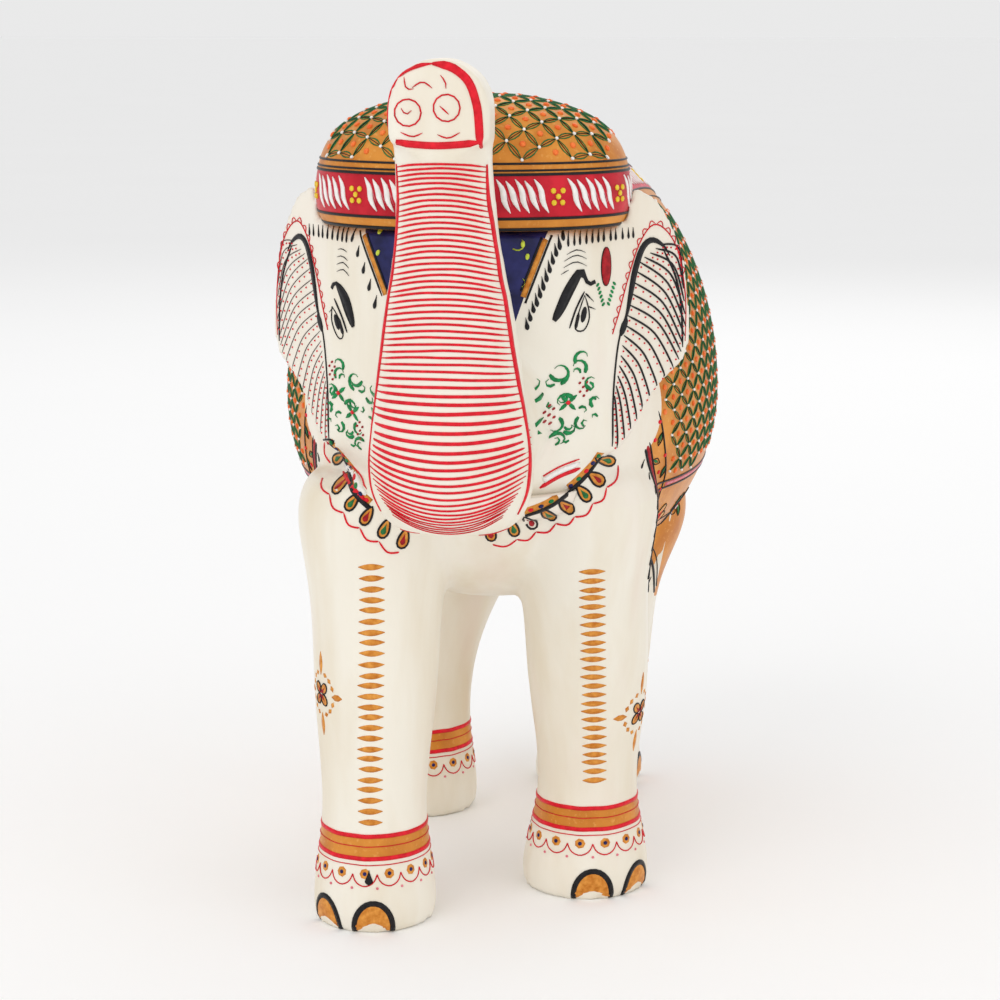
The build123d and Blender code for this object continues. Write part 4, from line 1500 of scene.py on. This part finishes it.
def paint_flank(way):
    """Side of the cloth: diaper field, arch band, hem band and the dark fringe along its edges."""
    pots = Pots("flank_left" if way > 0 else "flank_right")
    black = pots["black"]
    chart = side(way)
    rear_edge = 66.0

    def wrap(u, v):
        return barrel(u, way * v)

    def shoulder(z):
        return float(np.interp(z, [p[0] for p in SHOULDER], [p[1] for p in SHOULDER]))

    def inside(y, arc, margin):
        if y > 104:
            return False
        hit = wrap(y, arc)
        if hit is None:
            return False
        x, z = hit[0].x, hit[0].z
        off = abs(float(top_arc(x, z, y)))
        if off < 44 + margin or z < BORDER_Z + 4 + margin or y < shoulder(z) + 12 + margin or z < 185 and y > rear_edge - margin:
            return False
        if y > 45 and z > 185:
            edge = float(np.interp(x, [p[0] for p in ARCH_OUTER], [p[1] for p in ARCH_OUTER]))
            return z > edge + 0.8 + margin
        return True

    diaper(pots, wrap, inside, (-48, 40), (104, 190), bpy.context.scene.carving.pitch / MM)
    # lines of the hem band and of the front edge
    for z in (BORDER_Z, BORDER_Z + 2.6):
        black.stroke(chart, [(y, z) for y in range(int(shoulder(z)) + 1, int(rear_edge), 6)], 0.5, lambda t: 1.0)
    for gap, width in ((0.4, 0.8), (3.0, 0.4)):
        black.stroke(chart, [(y, float(hem_at(y)) + gap) for y in range(int(shoulder(HEM_Z)) + 1, 98, 5)], width, lambda t: 1.0)
    pots["rose"].stroke(chart, [(float(y), BORDER_Z + 1.3) for y in range(-20, 64, 6)], 1.3, lambda t: 1.0)
    for gap, width, pot in ((0.3, 0.9, "black"), (3.0, 0.5, "black"), (1.6, 1.6, "crimson"), (10.6, 0.5, "black")):
        route = [(shoulder(z) + gap, float(z)) for z in range(119, 250, 6)]
        pots[pot].stroke(chart, route, width, lambda t: 1.0)
    for gap in (0.0, 2.6):
        route = [(rear_edge + gap, float(z)) for z in range(int(BORDER_Z), 190, 5)]
        black.stroke(chart, route, 0.45, lambda t: 1.0)
    # blossoms and leaves of the bands
    hem = [(-22.0, 134.5), (10.0, 134.5), (40.0, 134.5), (64.0, 133.0), (84.0, 124.0)]
    floral_band(pots, chart, hem, 24, tuple((float(y), 134.5) for y in (-8, 26, 60)), 7.4, 8.5)
    up = [(84.0, 146.0), (83.0, 160.0), (81.0, 176.0), (80.0, 190.0)]
    floral_band(pots, chart, up, 20, ((82.0, 171.0),), 7.0, 8.5)
    edge = [(shoulder(z) + 6.8, float(z)) for z in range(122, 244, 8)]
    for i, (u, v, turn) in enumerate(along(edge, 17)):
        leaf(pots, chart, u, v, 5.0, turn + (0.7 if i % 2 else -0.7))
        pots["red"].dot(chart, u + (2.2 if i % 2 else -2.2), v + 2.5, 0.8)
    # fringe of dark dashes outside the cloth
    for i in range(22):
        z = 122 + i * 5.2
        if z < 232:
            black.stroke(chart, [(shoulder(z) - 1.2, z), (shoulder(z) - 3.0, z - 3.2)], 0.8, drop_shape, step=0.8)
    for i in range(34):
        y = -28 + i * 3.6
        if y < 88:
            low = float(hem_at(y))
            black.stroke(chart, [(y, low - 1.4), (y + 0.4, low - 5.2)], 0.8, drop_shape, step=0.8)
    pots.make()


def paint_thighs():
    """Dark fringe that follows the edge of the cloth down each thigh."""
    pots = Pots("thighs")
    for route, way in (([(67.5, 140.0), (64.5, 122.0), (60.5, 104.0), (56.0, 88.0), (53.0, 76.0)], 1),
                       ([(-60.8, 140.0), (-58.5, 122.0), (-58.0, 104.0), (-57.5, 90.0)], -1)):
        for i, (u, v, turn) in enumerate(along(route, 17)):
            pots["black"].stroke(rear, [(u - way * 1.6, v + 1.6), (u - way * 0.2, v - 2.2)], 0.8, drop_shape, step=0.8)
        pots["black"].stroke(rear, route, 0.45)
    pots.make()


def paint_tail():
    pots = Pots("tail")
    for i in range(46):
        x = 23.5 + 13.5 * (i % 23) / 22 + unsteady(0.3)
        middle = 30.2
        top_z = 62.5 - 0.16 * (x - middle) ** 2 + unsteady(2.2)
        pots["black"].stroke(rear, [(x, top_z - 14), (x + unsteady(0.5), top_z)], 0.8, flick_shape, step=1.4)
    for gap in (-8.0, 8.0):
        points = [(30.4 + gap, 66), (29.6 + gap, 90), (27.6 + gap, 120), (24.6 + gap, 150), (21 + gap, 180)]
        pots["rose"].stroke(rear, [tuple(map(float, p)) for p in points], 0.5)
    pots.make()


# ------------------------------------------------------------------ carved body
def body_hold(x, y, z):
    """How much of the carving stays crisp: the soles and the face of the trunk's tip."""
    if z < 3.0:
        return 1.0
    if z < 8.0:
        return 0.6
    if ear_reach(x, y) > 8.0 and z > 165.0:
        return 0.7
    return 0.75 if z > 274.0 and y < -120.0 else 0.0


def ear_reach(x, y):
    """Distance along the nearer ear from its root, or a negative number away from the ear's slab."""
    dx, dy = abs(x) - EAR_ROOT[0], y - EAR_ROOT[1]
    off = dx * math.sin(EAR_SWEEP) - dy * math.cos(EAR_SWEEP)
    return dx * math.cos(EAR_SWEEP) + dy * math.sin(EAR_SWEEP) if abs(off) < 6.0 else -1.0


def groove_hold(x, y, z):
    """Frees only the groove between the cheek and the root of the ear."""
    near = max(0.0, 1.0 - abs(abs(x) - 43.0) / 9.0) * max(0.0, min(1.0, (-50.0 - y) / 10.0))
    return 1.0 - near * (1.0 if 158.0 < z < 262.0 and y > -100.0 else 0.0)


def ear_slab(obj, way, operation):
    """Cuts with the slanted board that an ear is made from."""
    tool = block((2.0, -7.0, 150.0), (80.0, 7.0, 285.0))
    turn = EAR_SWEEP if way > 0 else math.pi - EAR_SWEEP
    tool.rotation_euler = (0, 0, turn)
    tool.location = Vector((way * EAR_ROOT[0], EAR_ROOT[1], 0)) * MM
    active(tool)
    bpy.ops.object.transform_apply(location=True, rotation=True, scale=True)
    apply_modifier(obj, "BOOLEAN", object=tool, operation=operation, solver="MANIFOLD")
    bpy.data.objects.remove(tool)


def carve(settings):
    """The whole form, softened, then shared out between the blocks it is glued up from."""
    whole = join_copies(BODY, "whole")
    apply_modifier(whole, "REMESH", mode="VOXEL", voxel_size=settings.grain)
    keep_largest(whole)
    soften(whole, settings.softening, body_hold)
    soften(whole, 70, groove_hold)
    lip = join_copies(("lower_lip",), "lower_lip_carved")
    tail = join_copies(("tail",), "tail_carved")
    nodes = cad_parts
    surfaces["skin"] = tree_of(whole, lip, tail)
    surfaces["cap"] = tree_of(nodes["headdress"])
    find_trunk_edges()
    active(whole)
    bpy.ops.object.shade_smooth()
    trunk_boxes = (
        ((-TRUNK_HALF, -OUTSIDE, TRUNK_LOW_Z), (TRUNK_HALF, FACE_Y, FOREHEAD_Z)),
        ((-TRUNK_HALF, -OUTSIDE, FOREHEAD_Z), (TRUNK_HALF, TRUNK_BACK_Y, OUTSIDE)),
    )
    head_box = ((-OUTSIDE, -OUTSIDE, JAW_Z), (OUTSIDE, NECK_Y, OUTSIDE))
    leg_boxes = {}
    for name, (way, middle, ankle) in LEGS.items():
        xs = sorted((way * LEG_INNER_X, way * OUTSIDE))
        leg_boxes[name] = ((xs[0], middle - LEG_REACH, -5.0), (xs[1], middle + LEG_REACH, LEG_TOP_Z))
    pieces = {}
    rest = duplicate(whole, "rest")
    trunk = duplicate(whole, "trunk_carved")
    cut(trunk, (-TRUNK_HALF, -OUTSIDE, TRUNK_LOW_Z), (TRUNK_HALF, FACE_Y, OUTSIDE), "INTERSECT")
    cut(trunk, (-OUTSIDE, TRUNK_BACK_Y, FOREHEAD_Z), (OUTSIDE, 0.0, OUTSIDE), "DIFFERENCE")
    pieces["trunk"] = trunk
    for low, high in trunk_boxes:
        cut(rest, low, high, "DIFFERENCE")
    ears = {}
    for name, way in EARS.items():
        piece = duplicate(rest, name + "_carved")
        ear_slab(piece, way, "INTERSECT")
        keep_largest(piece)
        ears[name] = piece
        surfaces[name] = tree_of(piece)
        ear_slab(rest, way, "DIFFERENCE")
    keep_largest(rest)
    surfaces["body"] = tree_of(rest, pieces["trunk"])
    head = duplicate(rest, "head_carved")
    cut(head, *head_box, "INTERSECT")
    pieces["head"] = head
    cut(rest, *head_box, "DIFFERENCE")
    for name, box in leg_boxes.items():
        piece = duplicate(rest, name + "_carved")
        cut(piece, *box, "INTERSECT")
        pieces[name] = piece
    for box in leg_boxes.values():
        cut(rest, *box, "DIFFERENCE")
    halves = (("torso_left_half", (0.0, -OUTSIDE, -5.0), (OUTSIDE, OUTSIDE, OUTSIDE)),
              ("torso_right_half", (-OUTSIDE, -OUTSIDE, -5.0), (0.0, OUTSIDE, OUTSIDE)))
    for name, low, high in halves:
        piece = duplicate(rest, name + "_carved")
        cut(piece, low, high, "INTERSECT")
        pieces[name] = piece
    bpy.data.objects.remove(rest)
    for name, piece in pieces.items():
        finish_piece(piece, name, paints["body"])
        take_normals(piece, whole)
        write_fields(piece)
    for name, piece in ears.items():
        finish_piece(piece, name, paints["ear"])
        take_normals(piece, whole)
    bpy.data.objects.remove(whole)
    finish_piece(lip, "lower_lip", paints["lip"])
    finish_piece(tail, "tail", paints["tail"])
    write_fields(tail, True)


def cover_nodes():
    """Materials of the CAD nodes that are shown as they are."""
    for node, slot, paint in (
        ("headdress", "gold_paint", "cap"),
        *((name, "bare_wood", "wood") for name in DOWELS),
    ):
        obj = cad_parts[node]
        obj.data.materials.clear()
        obj.data.materials.append(paints[paint])


# ------------------------------------------------------------------ stage
def area_light(name, place, size, energy):
    data = bpy.data.lights.new(name, "AREA")
    data.shape, data.size, data.energy = "SQUARE", size, energy
    obj = bpy.data.objects.new(name, data)
    bpy.context.scene.collection.objects.link(obj)
    obj.location = place
    obj.rotation_euler = (Vector((0, 0, 0.15)) - Vector(place)).to_track_quat("-Z", "Y").to_euler()


def set_stage():
    deselect()
    bpy.ops.mesh.primitive_plane_add(size=80, location=(0, 0, 0))
    floor = bpy.context.object
    floor.name = "floor"
    graph = Graph("pale floor")
    floor.data.materials.append(graph.finish(
        graph.mix(graph.noise(3.0), srgb(253, 253, 253), srgb(255, 255, 255)), (0.85, 0.95), coat=0.0, bump=0.0))
    area_light("key", (-0.8, -1.4, 1.5), 1.2, 7)
    area_light("fill", (1.4, -1.0, 0.9), 1.4, 3)
    area_light("back", (0.2, 1.6, 1.3), 1.4, 4)
    world = bpy.data.worlds.new("studio")
    world.use_nodes = True
    world.node_tree.nodes["Background"].inputs["Color"].default_value = (1, 1, 1, 1)
    world.node_tree.nodes["Background"].inputs["Strength"].default_value = 0.82
    scene = bpy.context.scene
    scene.world = world
    scene.view_settings.view_transform = "Standard"
    camera = bpy.data.cameras.new("camera")
    camera.lens, camera.sensor_width = 91.4, 36
    obj = bpy.data.objects.new("camera", camera)
    scene.collection.objects.link(obj)
    turn = math.radians(7)
    target = Vector((0, MID_Y, 136.4)) * MM
    obj.location = target + Vector((951.7 * math.sin(turn), -951.7 * math.cos(turn), 180.9)) * MM
    obj.rotation_euler = (target - obj.location).to_track_quat("-Z", "Y").to_euler()
    scene.camera = obj


# ------------------------------------------------------------------ operators
class ELEPHANT_OT_paints(bpy.types.Operator):
    """Mix the paints and cover the CAD nodes that are shown as they are"""

    bl_idname = "elephant.paints"
    bl_label = "Mix paints"

    def execute(self, context):
        mix_paints()
        cover_nodes()
        return {"FINISHED"}


class ELEPHANT_OT_carve(bpy.types.Operator):
    """Carve the body, share it out between its blocks and lay the flat painted fields"""

    bl_idname = "elephant.carve"
    bl_label = "Carve body"

    def execute(self, context):
        carve(context.scene.carving)
        return {"FINISHED"}


class ELEPHANT_OT_head(bpy.types.Operator):
    """Paint the trunk, its tip, the face, the ears and the collar"""

    bl_idname = "elephant.head"
    bl_label = "Paint head"

    def execute(self, context):
        paint_trunk()
        paint_tip()
        paint_face()
        paint_ear(1)
        paint_ear(-1)
        paint_collar()
        return {"FINISHED"}


class ELEPHANT_OT_headdress(bpy.types.Operator):
    """Paint the band and the diaper of the headdress"""

    bl_idname = "elephant.headdress"
    bl_label = "Paint headdress"

    def execute(self, context):
        paint_cap()
        return {"FINISHED"}


class ELEPHANT_OT_cloth(bpy.types.Operator):
    """Paint the cloth on the back, the flanks and the rump"""

    bl_idname = "elephant.cloth"
    bl_label = "Paint cloth"

    def execute(self, context):
        paint_back()
        paint_arch()
        paint_rump()
        paint_flank(1)
        paint_flank(-1)
        paint_thighs()
        return {"FINISHED"}


class ELEPHANT_OT_legs(bpy.types.Operator):
    """Paint the legs, the feet and the tail"""

    bl_idname = "elephant.legs"
    bl_label = "Paint legs and tail"

    def execute(self, context):
        paint_legs()
        paint_tail()
        return {"FINISHED"}


class ELEPHANT_OT_stage(bpy.types.Operator):
    """Set the floor, the lights and the camera"""

    bl_idname = "elephant.stage"
    bl_label = "Set stage"

    def execute(self, context):
        set_stage()
        return {"FINISHED"}


OPERATORS = (
    ELEPHANT_OT_paints, ELEPHANT_OT_carve, ELEPHANT_OT_head, ELEPHANT_OT_headdress,
    ELEPHANT_OT_cloth, ELEPHANT_OT_legs, ELEPHANT_OT_stage,
)


class ELEPHANT_PT_panel(bpy.types.Panel):
    """Settings and steps of the painted elephant"""

    bl_idname = "ELEPHANT_PT_panel"
    bl_label = "Painted elephant"
    bl_space_type = "VIEW_3D"
    bl_region_type = "UI"
    bl_category = "Elephant"

    def draw(self, context):
        settings = context.scene.carving
        for name in ("grain", "softening", "relief", "pitch"):
            self.layout.prop(settings, name)
        for operator in OPERATORS:
            self.layout.operator(operator.bl_idname)


def register():
    bpy.utils.register_class(CarvingSettings)
    for operator in OPERATORS:
        bpy.utils.register_class(operator)
    bpy.utils.register_class(ELEPHANT_PT_panel)
    bpy.types.Scene.carving = bpy.props.PointerProperty(type=CarvingSettings)


def unregister():
    del bpy.types.Scene.carving
    bpy.utils.unregister_class(ELEPHANT_PT_panel)
    for operator in reversed(OPERATORS):
        bpy.utils.unregister_class(operator)
    bpy.utils.unregister_class(CarvingSettings)


def main():
    register()
    for step in ("paints", "carve", "head", "headdress", "cloth", "legs", "stage"):
        getattr(bpy.ops.elephant, step)()


if __name__ == "__main__":
    main()
